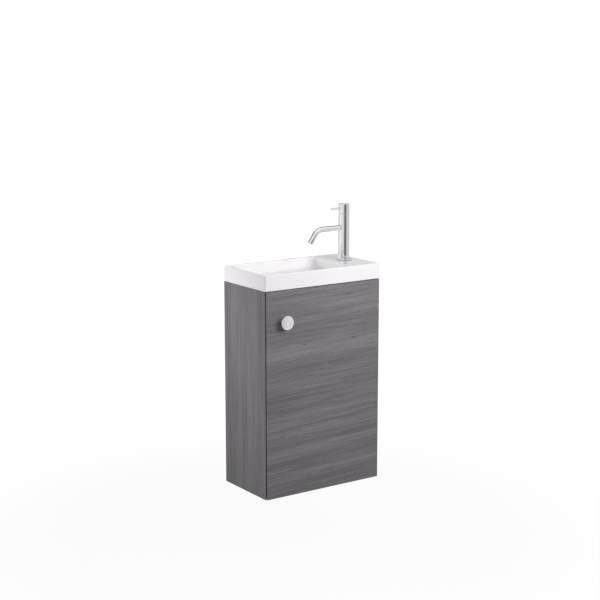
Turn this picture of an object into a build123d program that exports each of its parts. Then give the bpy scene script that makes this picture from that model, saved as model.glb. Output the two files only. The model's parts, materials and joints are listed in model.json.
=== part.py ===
from build123d import *
from math import asin, cos, radians, sin
import os

# Wall-hung cloakroom vanity unit. Millimetres, +X right, +Y to the wall (y = 0 is the wall), +Z up.
# The origin lies on the wall, midway between the two holes in the top rear rail.

# Basin, which stands proud of the cabinet's front and both its sides by the overhang
BASIN_LENGTH = 400.0
BASIN_OVERHANG = 1.0
BASIN_HEIGHT = 45.0
BASIN_EDGE_RADIUS = 1.6
BOWL_RIM = 9.0
BOWL_DEPTH = 32.0
BOWL_CORNER_RADIUS = 26.0
BOWL_FLOOR_CORNER_RADIUS = 30.0
BOWL_FOOT_RADIUS = 9.0
BOWL_END_SLOPE = 52.0
BOWL_SIDE_SLOPE = 9.0
BOWL_DECK_SLOPE = 12.0
DECK_LENGTH = 97.0
DECK_THICKNESS = 15.0
DECK_POCKET_WALL = 12.0
DECK_POCKET_CORNER = 8.0

# Cabinet
CABINET_WIDTH = BASIN_LENGTH - 2 * BASIN_OVERHANG
CABINET_DEPTH = 219.0
BASIN_DEPTH = CABINET_DEPTH + BASIN_OVERHANG
CABINET_HEIGHT = 605.0
BOARD = 16.0
DOOR_THICKNESS = 16.0
DOOR_GAP = 2.0
DOOR_TOP_GAP = 2.0
MITRE_SET_BACK = 2.0
FRONT_RAIL_WIDTH = 48.0
REAR_RAIL_HEIGHT = 80.0
LOWER_RAIL_HEIGHT = 60.0
SHELF_DROP = 370.0
SHELF_FRONT_SET_BACK = 12.0
SHELF_CLEARANCE = 0.5
WALL_HOLE_DROP = 40.0
WALL_HOLE_SPACING = 240.0
WALL_HOLE_RADIUS = 4.0
SEALANT_LEG = 5.0

# Carcass fittings
DOWEL_RADIUS = 4.0
DOWEL_IN_PANEL = 11.0
DOWEL_IN_BOARD = 24.0
FIT_CLEARANCE = 0.05
NUT_BEVEL = 0.08
DOWEL_BEVEL = 0.8
DRILL_POINT = 1.0
CAM_RADIUS = 7.5
CAM_DEPTH = 12.5
CAM_DISTANCE = 24.0
CAM_FROM_EDGE = 32.0
CAM_FROM_BACK = 46.0
RAIL_END = 15.0
SYSTEM_STEP = 32.0
CAM_SLOT = 7.6
CAM_BOLT_RADIUS = 3.0
CAM_BOLT_THREAD_RADIUS = 2.5
CAM_BOLT_IN_PANEL = 11.0
CAM_BOLT_HEAD_RADIUS = 3.4
CAM_BOLT_HEAD_LENGTH = 2.5
CAM_BOLT_BORE = 3.6
CROSS_LENGTH = 7.0
CROSS_WIDTH = 1.2
CROSS_DEPTH = 1.6
SHELF_PIN_RADIUS = 2.5
SHELF_PIN_IN_PANEL = 9.0
SHELF_PIN_REACH = 9.0
SHELF_PIN_INSET = 34.0

# Door knob
KNOB_FROM_LEFT = 62.0
KNOB_DROP = 92.0
KNOB_RADIUS = 20.0
KNOB_RIM = 5.0
KNOB_DOME = 2.5
KNOB_RIM_BEVEL = 0.6
KNOB_BACK_BEVEL = 3.0
KNOB_REACH = 22.0
KNOB_STEM_RADIUS = 8.0
KNOB_STEM_FOOT = 10.0
KNOB_STEM_FOOT_HEIGHT = 1.5
KNOB_SCREW_RADIUS = 2.0
KNOB_SCREW_HEAD = 4.0
KNOB_SCREW_HEAD_HEIGHT = 2.4
BUFFER_RADIUS = 5.0
BUFFER_HEIGHT = 1.7
BUFFER_INSET = 40.0

# Concealed hinges, on the right
HINGE_FROM_END = 95.0
HINGE_CUP_RADIUS = 17.5
HINGE_CUP_WALL = 0.9
HINGE_CUP_DEPTH = 11.6
HINGE_TAB = 4.0
HINGE_CUP_PIN_FROM_EDGE = 12.0
HINGE_CUP_PIN_DEPTH = 3.4
HINGE_ARM_PIN_FROM_EDGE = 39.0
HINGE_ARM_PIN_FROM_FRONT = 30.0
HINGE_PIN_RADIUS = 1.5
HINGE_LINK_BULGE = 9.0
HINGE_LINK_THICKNESS = 2.8
HINGE_LINK_WIDTH = 14.0
HINGE_LINK_EYE = 3.2
HINGE_FLANGE_THICKNESS = 1.0
HINGE_FLANGE_HALF_HEIGHT = 29.0
HINGE_FLANGE_WIDTH = 20.0
HINGE_FLANGE_CORNER = 6.0
HINGE_EAR_SPACING = 48.0
HINGE_EAR_OFFSET = 9.5
HINGE_SCREW_RADIUS = 1.75
HINGE_SCREW_HEAD = 3.6
HINGE_SCREW_HEAD_HEIGHT = 1.4
HINGE_SCREW_DEPTH = 9.5
HINGE_CHEEK = 1.5
HINGE_CHEEK_EYE = 3.8
HINGE_CHEEK_CLEARANCE = 0.4
HINGE_ARM_LENGTH = 52.0
HINGE_ARM_HEIGHT = 12.0
HINGE_PLATE_THICKNESS = 3.5
HINGE_PLATE_LENGTH = 18.0
HINGE_PLATE_CORNER = 4.0
HINGE_BOSS_SET_BACK = 4.0
HINGE_PLATE_HALF_HEIGHT = 23.0
HINGE_PLATE_SETBACK = 37.0
HINGE_PLATE_SPACING = 32.0

# Tap
TAP_FROM_RIGHT = 50.0
TAP_FLANGE_RADIUS = 23.3
TAP_FLANGE_HEIGHT = 3.0
TAP_GASKET = 0.8
TAP_GASKET_INSET = 1.0
TAP_RADIUS = 16.0
TAP_HEAD_BOTTOM = 138.0
TAP_HEIGHT = 168.0
TAP_HEAD_SEAM = 0.4
TAP_EDGE = 1.8
TAP_SEAM_BEVEL = 0.4
TAP_FLANGE_EDGE = 1.2
TAP_WATERWAY = 6.5
TAP_SHANK_RADIUS = 10.48
TAP_NECK_RADIUS = 10.3
TAP_INLET_LENGTH = 32.0
TAP_SHANK_WALL = 2.6
TAP_SHANK_LENGTH = 60.0
TAP_SHANK_IN_BODY = 12.0
TAP_HOLE_RADIUS = 11.5
TAP_WASHER_RADIUS = 21.0
TAP_WASHER_THICKNESS = 3.0
TAP_NUT_ACROSS_CORNERS = 31.0
TAP_NUT_HEIGHT = 8.0
CARTRIDGE_RADIUS = 10.0
CARTRIDGE_LENGTH = 26.0
CARTRIDGE_PORT = 5.5
SPINDLE_RADIUS = 4.0
SPINDLE_IN_CARTRIDGE = 12.0
SPINDLE_IN_HEAD = 14.0
LEVER_HEIGHT = 153.5
LEVER_RADIUS = 3.3
LEVER_REACH = 49.0
LEVER_IN_HEAD = 6.0
LEVER_EDGE = 0.7
GRUB_RADIUS = 2.0
GRUB_SUNK = 2.0
GRUB_SOCKET = 1.2
SPOUT_HEIGHT = 96.5
SPOUT_RADIUS = 7.9
SPOUT_WALL = 1.2
SPOUT_STRAIGHT = 77.0
SPOUT_BEND_RADIUS = 36.0
SPOUT_BEND_ANGLE = 57.0
SPOUT_TAIL = 22.0
SPOUT_SEAT = 3.0
AERATOR_RADIUS = 8.4
AERATOR_LENGTH = 4.0
AERATOR_BORE = 6.2
AERATOR_BEVEL = 0.6
SCREEN_SUNK = 1.0
SCREEN_HOLE = 1.2
SCREEN_HOLE_COUNT = 8

# Waste
WASTE_FROM_DECK = 133.0
WASTE_HOLE_RADIUS = 22.5
WASTE_FLANGE_RADIUS = 31.0
WASTE_FLANGE_THICKNESS = 2.0
WASTE_FLANGE_PROUD = 0.5
WASTE_FLANGE_EDGE = 0.9
WASTE_RECESS_CLEARANCE = 1.0
WASTE_GASKET_THICKNESS = 1.5
WASTE_GASKET_RADIUS = 29.0
WASTE_TAIL_RADIUS = 20.9
WASTE_TAIL_WALL = 2.2
WASTE_TAIL_BELOW = 45.0
WASTE_SLOT_COUNT = 8
WASTE_SLOT_WIDTH = 3.0
WASTE_SLOT_LENGTH = 9.0
WASTE_SLOT_CIRCLE = 12.0
WASTE_SCREW_RADIUS = 2.9
WASTE_SCREW_HEAD = 5.2
WASTE_SCREW_HEAD_HEIGHT = 1.9
WASTE_BRIDGE = 6.0
WASTE_BRIDGE_WIDTH = 10.0
WASTE_LOWER_GASKET = 4.0
WASTE_LOWER_RADIUS = 31.0
WASTE_NUT_HEIGHT = 8.0
WASTE_NUT_ACROSS_CORNERS = 60.0

# Bottle trap
TRAP_TUBE_RADIUS = 16.0
TRAP_TUBE_WALL = 1.4
TRAP_COLLAR_RADIUS = 20.2
TRAP_COLLAR = 2.0
TRAP_SEAL = 2.0
TRAP_NUT_WALL = 4.5
TRAP_NUT_GRIP = 14.0
TRAP_NUT_LIP = 3.0
TRAP_NUT_EDGE = 1.5
TRAP_BODY_DROP = 52.0
TRAP_BODY_RADIUS = 31.0
TRAP_BODY_WALL = 3.0
TRAP_BODY_HEIGHT = 44.0
TRAP_SHOULDER = 6.0
TRAP_NECK_RADIUS = 20.0
TRAP_NECK_HEIGHT = 9.0
TRAP_CUP_HEIGHT = 62.0
TRAP_CUP_SPIGOT = 9.0
TRAP_CUP_TAPER = 9.0
TRAP_DIP_ABOVE_FLOOR = 20.0
TRAP_SOCKET_RADIUS = 19.5
TRAP_SOCKET_LENGTH = 22.0
TRAP_TUBE_SEAT = 4.0
TRAP_PORT_STEP = 1.0
TRAP_OUTLET_DROP = 19.0
ROSETTE_RADIUS = 31.0
ROSETTE_DEPTH = 9.0
ROSETTE_WALL = 1.8

# Levels and faces worked out from the sizes above
CABINET_TOP = WALL_HOLE_DROP
CABINET_BOTTOM = CABINET_TOP - CABINET_HEIGHT
BASIN_TOP = CABINET_TOP + BASIN_HEIGHT
HALF = CABINET_WIDTH / 2
INNER = HALF - BOARD
FRONT = -CABINET_DEPTH
DOOR_BACK = FRONT + DOOR_THICKNESS
CARCASS_FRONT = DOOR_BACK + DOOR_GAP
DOOR_TOP = CABINET_TOP - DOOR_TOP_GAP
SHELF_TOP = CABINET_TOP - SHELF_DROP
DOOR_LEFT = -HALF + MITRE_SET_BACK
KNOB_X = -HALF + KNOB_FROM_LEFT
KNOB_Z = CABINET_TOP - KNOB_DROP
HINGE_LEVELS = (CABINET_BOTTOM + HINGE_FROM_END, CABINET_TOP - HINGE_FROM_END)
SCREW_HOLE = HINGE_SCREW_RADIUS + FIT_CLEARANCE

os.makedirs("parts", exist_ok=True)
pieces = []


def keep(part, label):
    """Label a finished piece and write it to its own file."""
    part.label = label
    pieces.append(label)
    export_step(part, f"parts/{label}.step")


def slab(low, high, mode=Mode.ADD):
    """A box between two opposite corners."""
    with Locations(tuple((a + b) / 2 for a, b in zip(low, high))):
        Box(*[b - a for a, b in zip(low, high)], mode=mode)


def rod(start, direction, radius, length, mode=Mode.ADD):
    """A round bar from start, along direction."""
    with BuildSketch(Plane(origin=start, z_dir=direction)) as section:
        Circle(radius)
    extrude(section.sketch, amount=length, mode=mode)


def turned(centre, outline, direction=(0, 0, 1), mode=Mode.ADD):
    """A turned piece: outline holds (radius, distance along direction) points from centre."""
    side = (1, 0, 0) if direction[0] == 0 else (0, 1, 0)
    along = Vector(*direction)
    plane = Plane(origin=centre, x_dir=side, z_dir=Vector(*side).cross(along))
    with BuildSketch(plane) as section:
        with BuildLine():
            Polyline(*outline, close=True)
        make_face()
    revolve(section.sketch, axis=Axis(centre, direction), mode=mode)


def ring(centre, inner, outer, low, high, direction=(0, 0, 1), mode=Mode.ADD):
    """A plain ring between two distances along its axis."""
    turned(centre, [(inner, low), (outer, low), (outer, high), (inner, high)], direction, mode)


def nut(centre, bore, across_corners, low, high):
    """A six-sided nut with chamfered corners."""
    with BuildSketch(Plane.XY.offset(low)) as flats:
        with Locations((centre[0], centre[1])):
            RegularPolygon(across_corners / 2, 6)
            Circle(bore, mode=Mode.SUBTRACT)
    extrude(flats.sketch, amount=high - low)
    corner = across_corners / 2
    bevel = corner * NUT_BEVEL
    envelope = [
        (corner - bevel, low),
        (corner, low + bevel),
        (corner, high - bevel),
        (corner - bevel, high),
        (0, high),
        (0, low),
    ]
    turned((centre[0], centre[1], 0), envelope, mode=Mode.INTERSECT)


# Carcass joints, the same at both ends of each board: y, z, and for a cam disc the face it is let in from
BOTTOM_MID = CABINET_BOTTOM + BOARD / 2
FRONT_RAIL_MID = CABINET_TOP - BOARD / 2
REAR_MID = -BOARD / 2
CAMS = [
    (CARCASS_FRONT + CAM_FROM_EDGE, BOTTOM_MID, (0, 0, -1)),
    (-CAM_FROM_BACK, BOTTOM_MID, (0, 0, -1)),
    (CARCASS_FRONT + CAM_FROM_EDGE, FRONT_RAIL_MID, (0, 0, -1)),
    (REAR_MID, CABINET_TOP - CAM_FROM_EDGE, (0, -1, 0)),
    (REAR_MID, CABINET_BOTTOM + BOARD + RAIL_END, (0, -1, 0)),
]
DOWELS = [
    (CARCASS_FRONT + CAM_FROM_EDGE + SYSTEM_STEP, BOTTOM_MID),
    (-CAM_FROM_BACK - SYSTEM_STEP, BOTTOM_MID),
    (CARCASS_FRONT + RAIL_END, FRONT_RAIL_MID),
    (REAR_MID, CABINET_TOP - CAM_FROM_EDGE - SYSTEM_STEP),
    (REAR_MID, CABINET_BOTTOM + BOARD + LOWER_RAIL_HEIGHT - RAIL_END),
]
SHELF_PINS = [(CARCASS_FRONT + SHELF_FRONT_SET_BACK + SHELF_PIN_INSET), -BOARD - SHELF_PIN_INSET]
SHELF_PIN_Z = SHELF_TOP - BOARD - SHELF_PIN_RADIUS


def panel_holes(side):
    """Holes for dowels, bolts and shelf pins in a side panel's inner face; side is -1 or 1."""
    holes = [(y, z, DOWEL_RADIUS, DOWEL_IN_PANEL) for y, z in DOWELS]
    holes += [(y, z, CAM_BOLT_THREAD_RADIUS, CAM_BOLT_IN_PANEL) for y, z, _ in CAMS]
    holes += [(y, SHELF_PIN_Z, SHELF_PIN_RADIUS, SHELF_PIN_IN_PANEL) for y in SHELF_PINS]
    for y, z, radius, depth in holes:
        start = (side * INNER, y, z)
        rod(start, (side, 0, 0), radius + FIT_CLEARANCE, depth + FIT_CLEARANCE, Mode.SUBTRACT)


def board_holes(y_low, y_high, z_low, z_high):
    """Holes for dowels, bolts and cam discs in both ends of a board that fills these y and z."""
    for side in (-1, 1):
        inward = (-side, 0, 0)
        for y, z in DOWELS:
            if y_low < y < y_high and z_low < z < z_high:
                depth = DOWEL_IN_BOARD + DRILL_POINT
                rod((side * INNER, y, z), inward, DOWEL_RADIUS + FIT_CLEARANCE, depth, Mode.SUBTRACT)
        for y, z, let_in in CAMS:
            if y_low < y < y_high and z_low < z < z_high:
                rod((side * INNER, y, z), inward, CAM_BOLT_BORE, CAM_DISTANCE, Mode.SUBTRACT)
                face = Vector(side * (INNER - CAM_DISTANCE), y, z) + Vector(*let_in) * (BOARD / 2)
                back = Vector(*let_in) * -1
                rod(face, back, CAM_RADIUS + FIT_CLEARANCE, CAM_DEPTH + FIT_CLEARANCE, Mode.SUBTRACT)


# Side panels: the left one runs to the front and meets the door in a mitre
with BuildPart() as side_panel_left:
    with BuildSketch(Plane.XY.offset(CABINET_BOTTOM)):
        with BuildLine():
            Polyline(
                (-HALF, 0),
                (-HALF, FRONT + MITRE_SET_BACK),
                (-INNER, FRONT + MITRE_SET_BACK + BOARD),
                (-INNER, 0),
                close=True,
            )
        make_face()
    extrude(amount=CABINET_HEIGHT)
    panel_holes(-1)
keep(side_panel_left.part, "side_panel_left")

with BuildPart() as side_panel_right:
    slab((INNER, CARCASS_FRONT, CABINET_BOTTOM), (HALF, 0, CABINET_TOP))
    panel_holes(1)
    for level in HINGE_LEVELS:
        for step in (-1, 1):
            spot = (INNER, CARCASS_FRONT + HINGE_PLATE_SETBACK, level + step * HINGE_PLATE_SPACING / 2)
            rod(spot, (1, 0, 0), SCREW_HOLE, HINGE_SCREW_DEPTH + DRILL_POINT, Mode.SUBTRACT)
keep(side_panel_right.part, "side_panel_right")

# Boards between the side panels
with BuildPart() as bottom_panel:
    slab((-INNER, CARCASS_FRONT, CABINET_BOTTOM), (INNER, 0, CABINET_BOTTOM + BOARD))
    board_holes(CARCASS_FRONT, 0, CABINET_BOTTOM, CABINET_BOTTOM + BOARD)
keep(bottom_panel.part, "bottom_panel")

with BuildPart() as front_rail:
    slab((-INNER, CARCASS_FRONT, CABINET_TOP - BOARD), (INNER, CARCASS_FRONT + FRONT_RAIL_WIDTH, CABINET_TOP))
    board_holes(CARCASS_FRONT, CARCASS_FRONT + FRONT_RAIL_WIDTH, CABINET_TOP - BOARD, CABINET_TOP)
keep(front_rail.part, "front_rail")

with BuildPart() as rear_rail_top:
    slab((-INNER, -BOARD, CABINET_TOP - REAR_RAIL_HEIGHT), (INNER, 0, CABINET_TOP))
    board_holes(-BOARD, 0, CABINET_TOP - REAR_RAIL_HEIGHT, CABINET_TOP)
    for side in (-1, 1):
        rod((side * WALL_HOLE_SPACING / 2, 0, 0), (0, -1, 0), WALL_HOLE_RADIUS, BOARD, Mode.SUBTRACT)
keep(rear_rail_top.part, "rear_rail_top")

with BuildPart() as rear_rail_bottom:
    LOWER_RAIL_BOTTOM = CABINET_BOTTOM + BOARD
    slab((-INNER, -BOARD, LOWER_RAIL_BOTTOM), (INNER, 0, LOWER_RAIL_BOTTOM + LOWER_RAIL_HEIGHT))
    board_holes(-BOARD, 0, LOWER_RAIL_BOTTOM, LOWER_RAIL_BOTTOM + LOWER_RAIL_HEIGHT)
    for side in (-1, 1):
        spot = (side * WALL_HOLE_SPACING / 2, 0, LOWER_RAIL_BOTTOM + LOWER_RAIL_HEIGHT / 2)
        rod(spot, (0, -1, 0), WALL_HOLE_RADIUS, BOARD, Mode.SUBTRACT)
keep(rear_rail_bottom.part, "rear_rail_bottom")

with BuildPart() as shelf:
    SHELF_END = INNER - SHELF_CLEARANCE
    SHELF_FRONT = CARCASS_FRONT + SHELF_FRONT_SET_BACK
    slab((-SHELF_END, SHELF_FRONT, SHELF_TOP - BOARD), (SHELF_END, -BOARD, SHELF_TOP))
keep(shelf.part, "shelf")

with BuildPart() as shelf_pins:
    for side in (-1, 1):
        for y in SHELF_PINS:
            start = (side * (INNER + SHELF_PIN_IN_PANEL - FIT_CLEARANCE), y, SHELF_PIN_Z)
            rod(start, (-side, 0, 0), SHELF_PIN_RADIUS, SHELF_PIN_IN_PANEL + SHELF_PIN_REACH)
keep(shelf_pins.part, "shelf_pins")

# Dowels, connecting bolts and cam discs
with BuildPart() as dowels:
    for side in (-1, 1):
        for y, z in DOWELS:
            start = (side * (INNER + DOWEL_IN_PANEL), y, z)
            rod(start, (-side, 0, 0), DOWEL_RADIUS, DOWEL_IN_PANEL + DOWEL_IN_BOARD)
    chamfer(dowels.edges().filter_by(GeomType.CIRCLE), DOWEL_BEVEL)
keep(dowels.part, "dowels")

with BuildPart() as cam_bolts:
    for side in (-1, 1):
        for y, z, _ in CAMS:
            seat = side * INNER
            inward = (-side, 0, 0)
            start = (seat + side * (CAM_BOLT_IN_PANEL - FIT_CLEARANCE), y, z)
            rod(start, inward, CAM_BOLT_THREAD_RADIUS, CAM_BOLT_IN_PANEL)
            rod((seat, y, z), inward, CAM_BOLT_RADIUS, CAM_DISTANCE - CAM_BOLT_HEAD_LENGTH)
            tip = (seat - side * (CAM_DISTANCE - CAM_BOLT_HEAD_LENGTH), y, z)
            rod(tip, inward, CAM_BOLT_HEAD_RADIUS, CAM_BOLT_HEAD_LENGTH)
keep(cam_bolts.part, "cam_bolts")

with BuildPart() as cam_discs:
    for side in (-1, 1):
        for y, z, let_in in CAMS:
            centre = Vector(side * (INNER - CAM_DISTANCE), y, z)
            face = centre + Vector(*let_in) * (BOARD / 2)
            back = Vector(*let_in) * -1
            rod(face, back, CAM_RADIUS, CAM_DEPTH)
            slot_start = centre - Vector(side, 0, 0) * (CAM_SLOT / 4)
            rod(slot_start, (side, 0, 0), CAM_SLOT / 2, 2 * CAM_RADIUS, Mode.SUBTRACT)
            with BuildSketch(Plane(origin=face, x_dir=(1, 0, 0), z_dir=back)) as cross:
                Rectangle(CROSS_LENGTH, CROSS_WIDTH)
                Rectangle(CROSS_WIDTH, CROSS_LENGTH)
            extrude(cross.sketch, amount=CROSS_DEPTH, mode=Mode.SUBTRACT)
keep(cam_discs.part, "cam_discs")

# Concealed hinge places, all from the door's right edge and front face
CUP_X = HALF - HINGE_TAB - HINGE_CUP_RADIUS
CUP_INNER = HINGE_CUP_RADIUS - HINGE_CUP_WALL
CUP_PIN = (HALF - HINGE_CUP_PIN_FROM_EDGE, DOOR_BACK - HINGE_CUP_PIN_DEPTH)
ARM_PIN = (HALF - HINGE_ARM_PIN_FROM_EDGE, FRONT + HINGE_ARM_PIN_FROM_FRONT)
EAR_X = CUP_X - HINGE_EAR_OFFSET
PLATE_Y = CARCASS_FRONT + HINGE_PLATE_SETBACK
CHEEK_INSIDE = HINGE_LINK_WIDTH / 2 + HINGE_CHEEK_CLEARANCE
CHEEK_OUTSIDE = CHEEK_INSIDE + HINGE_CHEEK
SCREW_HEAD_OUTLINE = [
    (0, 0),
    (HINGE_SCREW_HEAD, 0),
    (HINGE_SCREW_HEAD - HINGE_SCREW_HEAD_HEIGHT, HINGE_SCREW_HEAD_HEIGHT),
    (0, HINGE_SCREW_HEAD_HEIGHT),
]
ARM_INNER_X = ARM_PIN[0] + HINGE_LINK_EYE
ARM_BACK = ARM_PIN[1] + HINGE_ARM_LENGTH

# Door, mitred on the left, square on the right
with BuildPart() as door_panel:
    with BuildSketch(Plane.XY.offset(CABINET_BOTTOM)):
        with BuildLine():
            Polyline(
                (DOOR_LEFT, FRONT),
                (HALF, FRONT),
                (HALF, DOOR_BACK),
                (DOOR_LEFT + DOOR_THICKNESS, DOOR_BACK),
                close=True,
            )
        make_face()
    extrude(amount=DOOR_TOP - CABINET_BOTTOM)
    knob_hole = (KNOB_X, DOOR_BACK, KNOB_Z)
    rod(knob_hole, (0, -1, 0), KNOB_SCREW_RADIUS + FIT_CLEARANCE, DOOR_THICKNESS, Mode.SUBTRACT)
    for level in HINGE_LEVELS:
        cup_place = (CUP_X, DOOR_BACK, level)
        cup_bore = HINGE_CUP_RADIUS + FIT_CLEARANCE
        rod(cup_place, (0, -1, 0), cup_bore, HINGE_CUP_DEPTH + FIT_CLEARANCE, Mode.SUBTRACT)
        for step in (-1, 1):
            spot = (EAR_X, DOOR_BACK, level + step * HINGE_EAR_SPACING / 2)
            rod(spot, (0, -1, 0), SCREW_HOLE, HINGE_SCREW_DEPTH + DRILL_POINT, Mode.SUBTRACT)
keep(door_panel.part, "door_panel")

with BuildPart() as hinge_cups:
    for level in HINGE_LEVELS:
        mouth = (CUP_X, DOOR_BACK, level)
        with BuildSketch(Plane(origin=mouth, x_dir=(1, 0, 0), z_dir=(0, 1, 0))) as flange:
            with Locations((-HINGE_EAR_OFFSET, 0)):
                RectangleRounded(HINGE_FLANGE_WIDTH, 2 * HINGE_FLANGE_HALF_HEIGHT, HINGE_FLANGE_CORNER)
            Circle(HINGE_CUP_RADIUS)
        extrude(flange.sketch, amount=HINGE_FLANGE_THICKNESS)
        rod(mouth, (0, -1, 0), HINGE_CUP_RADIUS, HINGE_CUP_DEPTH)
        cavity_top = (CUP_X, DOOR_BACK + HINGE_FLANGE_THICKNESS, level)
        cavity = HINGE_CUP_DEPTH + HINGE_FLANGE_THICKNESS - HINGE_CUP_WALL
        rod(cavity_top, (0, -1, 0), CUP_INNER, cavity, Mode.SUBTRACT)
        for step in (-1, 1):
            spot = (EAR_X, DOOR_BACK + HINGE_FLANGE_THICKNESS, level + step * HINGE_EAR_SPACING / 2)
            rod(spot, (0, -1, 0), SCREW_HOLE, HINGE_FLANGE_THICKNESS, Mode.SUBTRACT)
keep(hinge_cups.part, "hinge_cups")

with BuildPart() as hinge_cup_screws:
    for level in HINGE_LEVELS:
        for step in (-1, 1):
            head = (EAR_X, DOOR_BACK + HINGE_FLANGE_THICKNESS, level + step * HINGE_EAR_SPACING / 2)
            rod(head, (0, -1, 0), HINGE_SCREW_RADIUS, HINGE_SCREW_DEPTH)
            turned(head, SCREW_HEAD_OUTLINE, (0, 1, 0))
keep(hinge_cup_screws.part, "hinge_cup_screws")


def hinge_pins(place, half_length):
    """A pair of upright pins, one for each hinge."""
    for level in HINGE_LEVELS:
        rod((place[0], place[1], level - half_length), (0, 0, 1), HINGE_PIN_RADIUS, 2 * half_length)


PIN_CHORD = CUP_PIN[0] + HINGE_PIN_RADIUS - CUP_X
CUP_PIN_HALF = (CUP_INNER**2 - PIN_CHORD**2) ** 0.5 - 2 * FIT_CLEARANCE
with BuildPart() as hinge_cup_pins:
    hinge_pins(CUP_PIN, CUP_PIN_HALF)
keep(hinge_cup_pins.part, "hinge_cup_pins")

with BuildPart() as hinge_arm_pins:
    hinge_pins(ARM_PIN, CHEEK_OUTSIDE)
keep(hinge_arm_pins.part, "hinge_arm_pins")

# Links: a curved strap with an eye at each pin; the curve clears the cup's rim when the door is open
LINK_RUN = Vector(*ARM_PIN) - Vector(*CUP_PIN)
LINK_SIDE = Vector(-LINK_RUN.Y, LINK_RUN.X).normalized()
LINK_CROWN = (Vector(*ARM_PIN) + Vector(*CUP_PIN)) / 2 + LINK_SIDE * HINGE_LINK_BULGE
with BuildPart() as hinge_links:
    for level in HINGE_LEVELS:
        with BuildSketch(Plane.XY.offset(level - HINGE_LINK_WIDTH / 2)) as strap:
            with BuildLine():
                ThreePointArc(CUP_PIN, (LINK_CROWN.X, LINK_CROWN.Y), ARM_PIN)
            trace(line_width=HINGE_LINK_THICKNESS)
            with Locations(CUP_PIN, ARM_PIN):
                Circle(HINGE_LINK_EYE)
                Circle(HINGE_PIN_RADIUS + FIT_CLEARANCE, mode=Mode.SUBTRACT)
        extrude(strap.sketch, amount=HINGE_LINK_WIDTH)
keep(hinge_links.part, "hinge_links")

# Arms: a folded channel over the mounting plate's boss, with a cheek on each side of the link
with BuildPart() as hinge_arms:
    for level in HINGE_LEVELS:
        for step in (-1, 1):
            low = level + (CHEEK_INSIDE if step > 0 else -CHEEK_OUTSIDE)
            with BuildSketch(Plane.XY.offset(low)) as cheek:
                with BuildLine():
                    Polyline(
                        (ARM_PIN[0] - HINGE_LINK_EYE, ARM_PIN[1]),
                        (ARM_PIN[0] + HINGE_LINK_EYE, ARM_PIN[1]),
                        (ARM_INNER_X + HINGE_ARM_HEIGHT, ARM_PIN[1] + HINGE_ARM_HEIGHT),
                        (ARM_INNER_X + HINGE_ARM_HEIGHT, ARM_BACK),
                        (ARM_INNER_X - HINGE_CHEEK, ARM_BACK),
                        (ARM_INNER_X - HINGE_CHEEK, ARM_PIN[1] + HINGE_ARM_HEIGHT),
                        close=True,
                    )
                make_face()
                with Locations(ARM_PIN):
                    Circle(HINGE_CHEEK_EYE)
                    Circle(HINGE_PIN_RADIUS + FIT_CLEARANCE, mode=Mode.SUBTRACT)
            extrude(cheek.sketch, amount=HINGE_CHEEK)
        slab(
            (ARM_INNER_X - HINGE_CHEEK, ARM_PIN[1] + HINGE_ARM_HEIGHT, level - CHEEK_OUTSIDE),
            (ARM_INNER_X, ARM_BACK, level + CHEEK_OUTSIDE),
        )
keep(hinge_arms.part, "hinge_arms")

with BuildPart() as hinge_plates:
    for level in HINGE_LEVELS:
        with BuildSketch(Plane(origin=(INNER, PLATE_Y, level), x_dir=(0, 1, 0), z_dir=(-1, 0, 0))) as plate:
            RectangleRounded(HINGE_PLATE_LENGTH, 2 * HINGE_PLATE_HALF_HEIGHT, HINGE_PLATE_CORNER)
            with Locations((0, HINGE_PLATE_SPACING / 2), (0, -HINGE_PLATE_SPACING / 2)):
                Circle(SCREW_HOLE, mode=Mode.SUBTRACT)
        extrude(plate.sketch, amount=HINGE_PLATE_THICKNESS)
        boss = CHEEK_INSIDE - FIT_CLEARANCE
        slab(
            (ARM_INNER_X, ARM_PIN[1] + HINGE_ARM_HEIGHT, level - boss),
            (INNER - HINGE_PLATE_THICKNESS, ARM_BACK - HINGE_BOSS_SET_BACK, level + boss),
        )
keep(hinge_plates.part, "hinge_plates")

with BuildPart() as hinge_plate_screws:
    for level in HINGE_LEVELS:
        for step in (-1, 1):
            head = (INNER - HINGE_PLATE_THICKNESS, PLATE_Y, level + step * HINGE_PLATE_SPACING / 2)
            rod(head, (1, 0, 0), HINGE_SCREW_RADIUS, HINGE_PLATE_THICKNESS + HINGE_SCREW_DEPTH)
            turned(head, SCREW_HEAD_OUTLINE, (-1, 0, 0))
keep(hinge_plate_screws.part, "hinge_plate_screws")

# Knob: a domed disc on a stem, drawn up by a screw from inside the door
DISC_BACK = KNOB_REACH - KNOB_DOME - KNOB_RIM
DISC_RIM = KNOB_REACH - KNOB_DOME
DOME_EDGE = KNOB_RADIUS - KNOB_RIM_BEVEL
DOME_SPHERE = (DOME_EDGE**2 + KNOB_DOME**2) / (2 * KNOB_DOME)
DOME_HALF_TURN = asin(DOME_EDGE / DOME_SPHERE) / 2
with BuildPart() as door_knob:
    with BuildSketch(Plane(origin=(KNOB_X, FRONT, KNOB_Z), x_dir=(1, 0, 0), z_dir=(0, 0, -1))) as half_disc:
        with BuildLine():
            Polyline(
                (0, KNOB_REACH),
                (0, DISC_BACK),
                (KNOB_RADIUS - KNOB_BACK_BEVEL, DISC_BACK),
                (KNOB_RADIUS, DISC_BACK + KNOB_BACK_BEVEL / 2),
                (KNOB_RADIUS, DISC_RIM - KNOB_RIM_BEVEL),
                (DOME_EDGE, DISC_RIM),
            )
            dome_rise = DOME_SPHERE * (1 - cos(DOME_HALF_TURN))
            ThreePointArc(
                (DOME_EDGE, DISC_RIM),
                (DOME_SPHERE * sin(DOME_HALF_TURN), KNOB_REACH - dome_rise),
                (0, KNOB_REACH),
            )
        make_face()
    revolve(half_disc.sketch, axis=Axis((KNOB_X, FRONT, KNOB_Z), (0, 1, 0)))
keep(door_knob.part, "door_knob")

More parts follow.
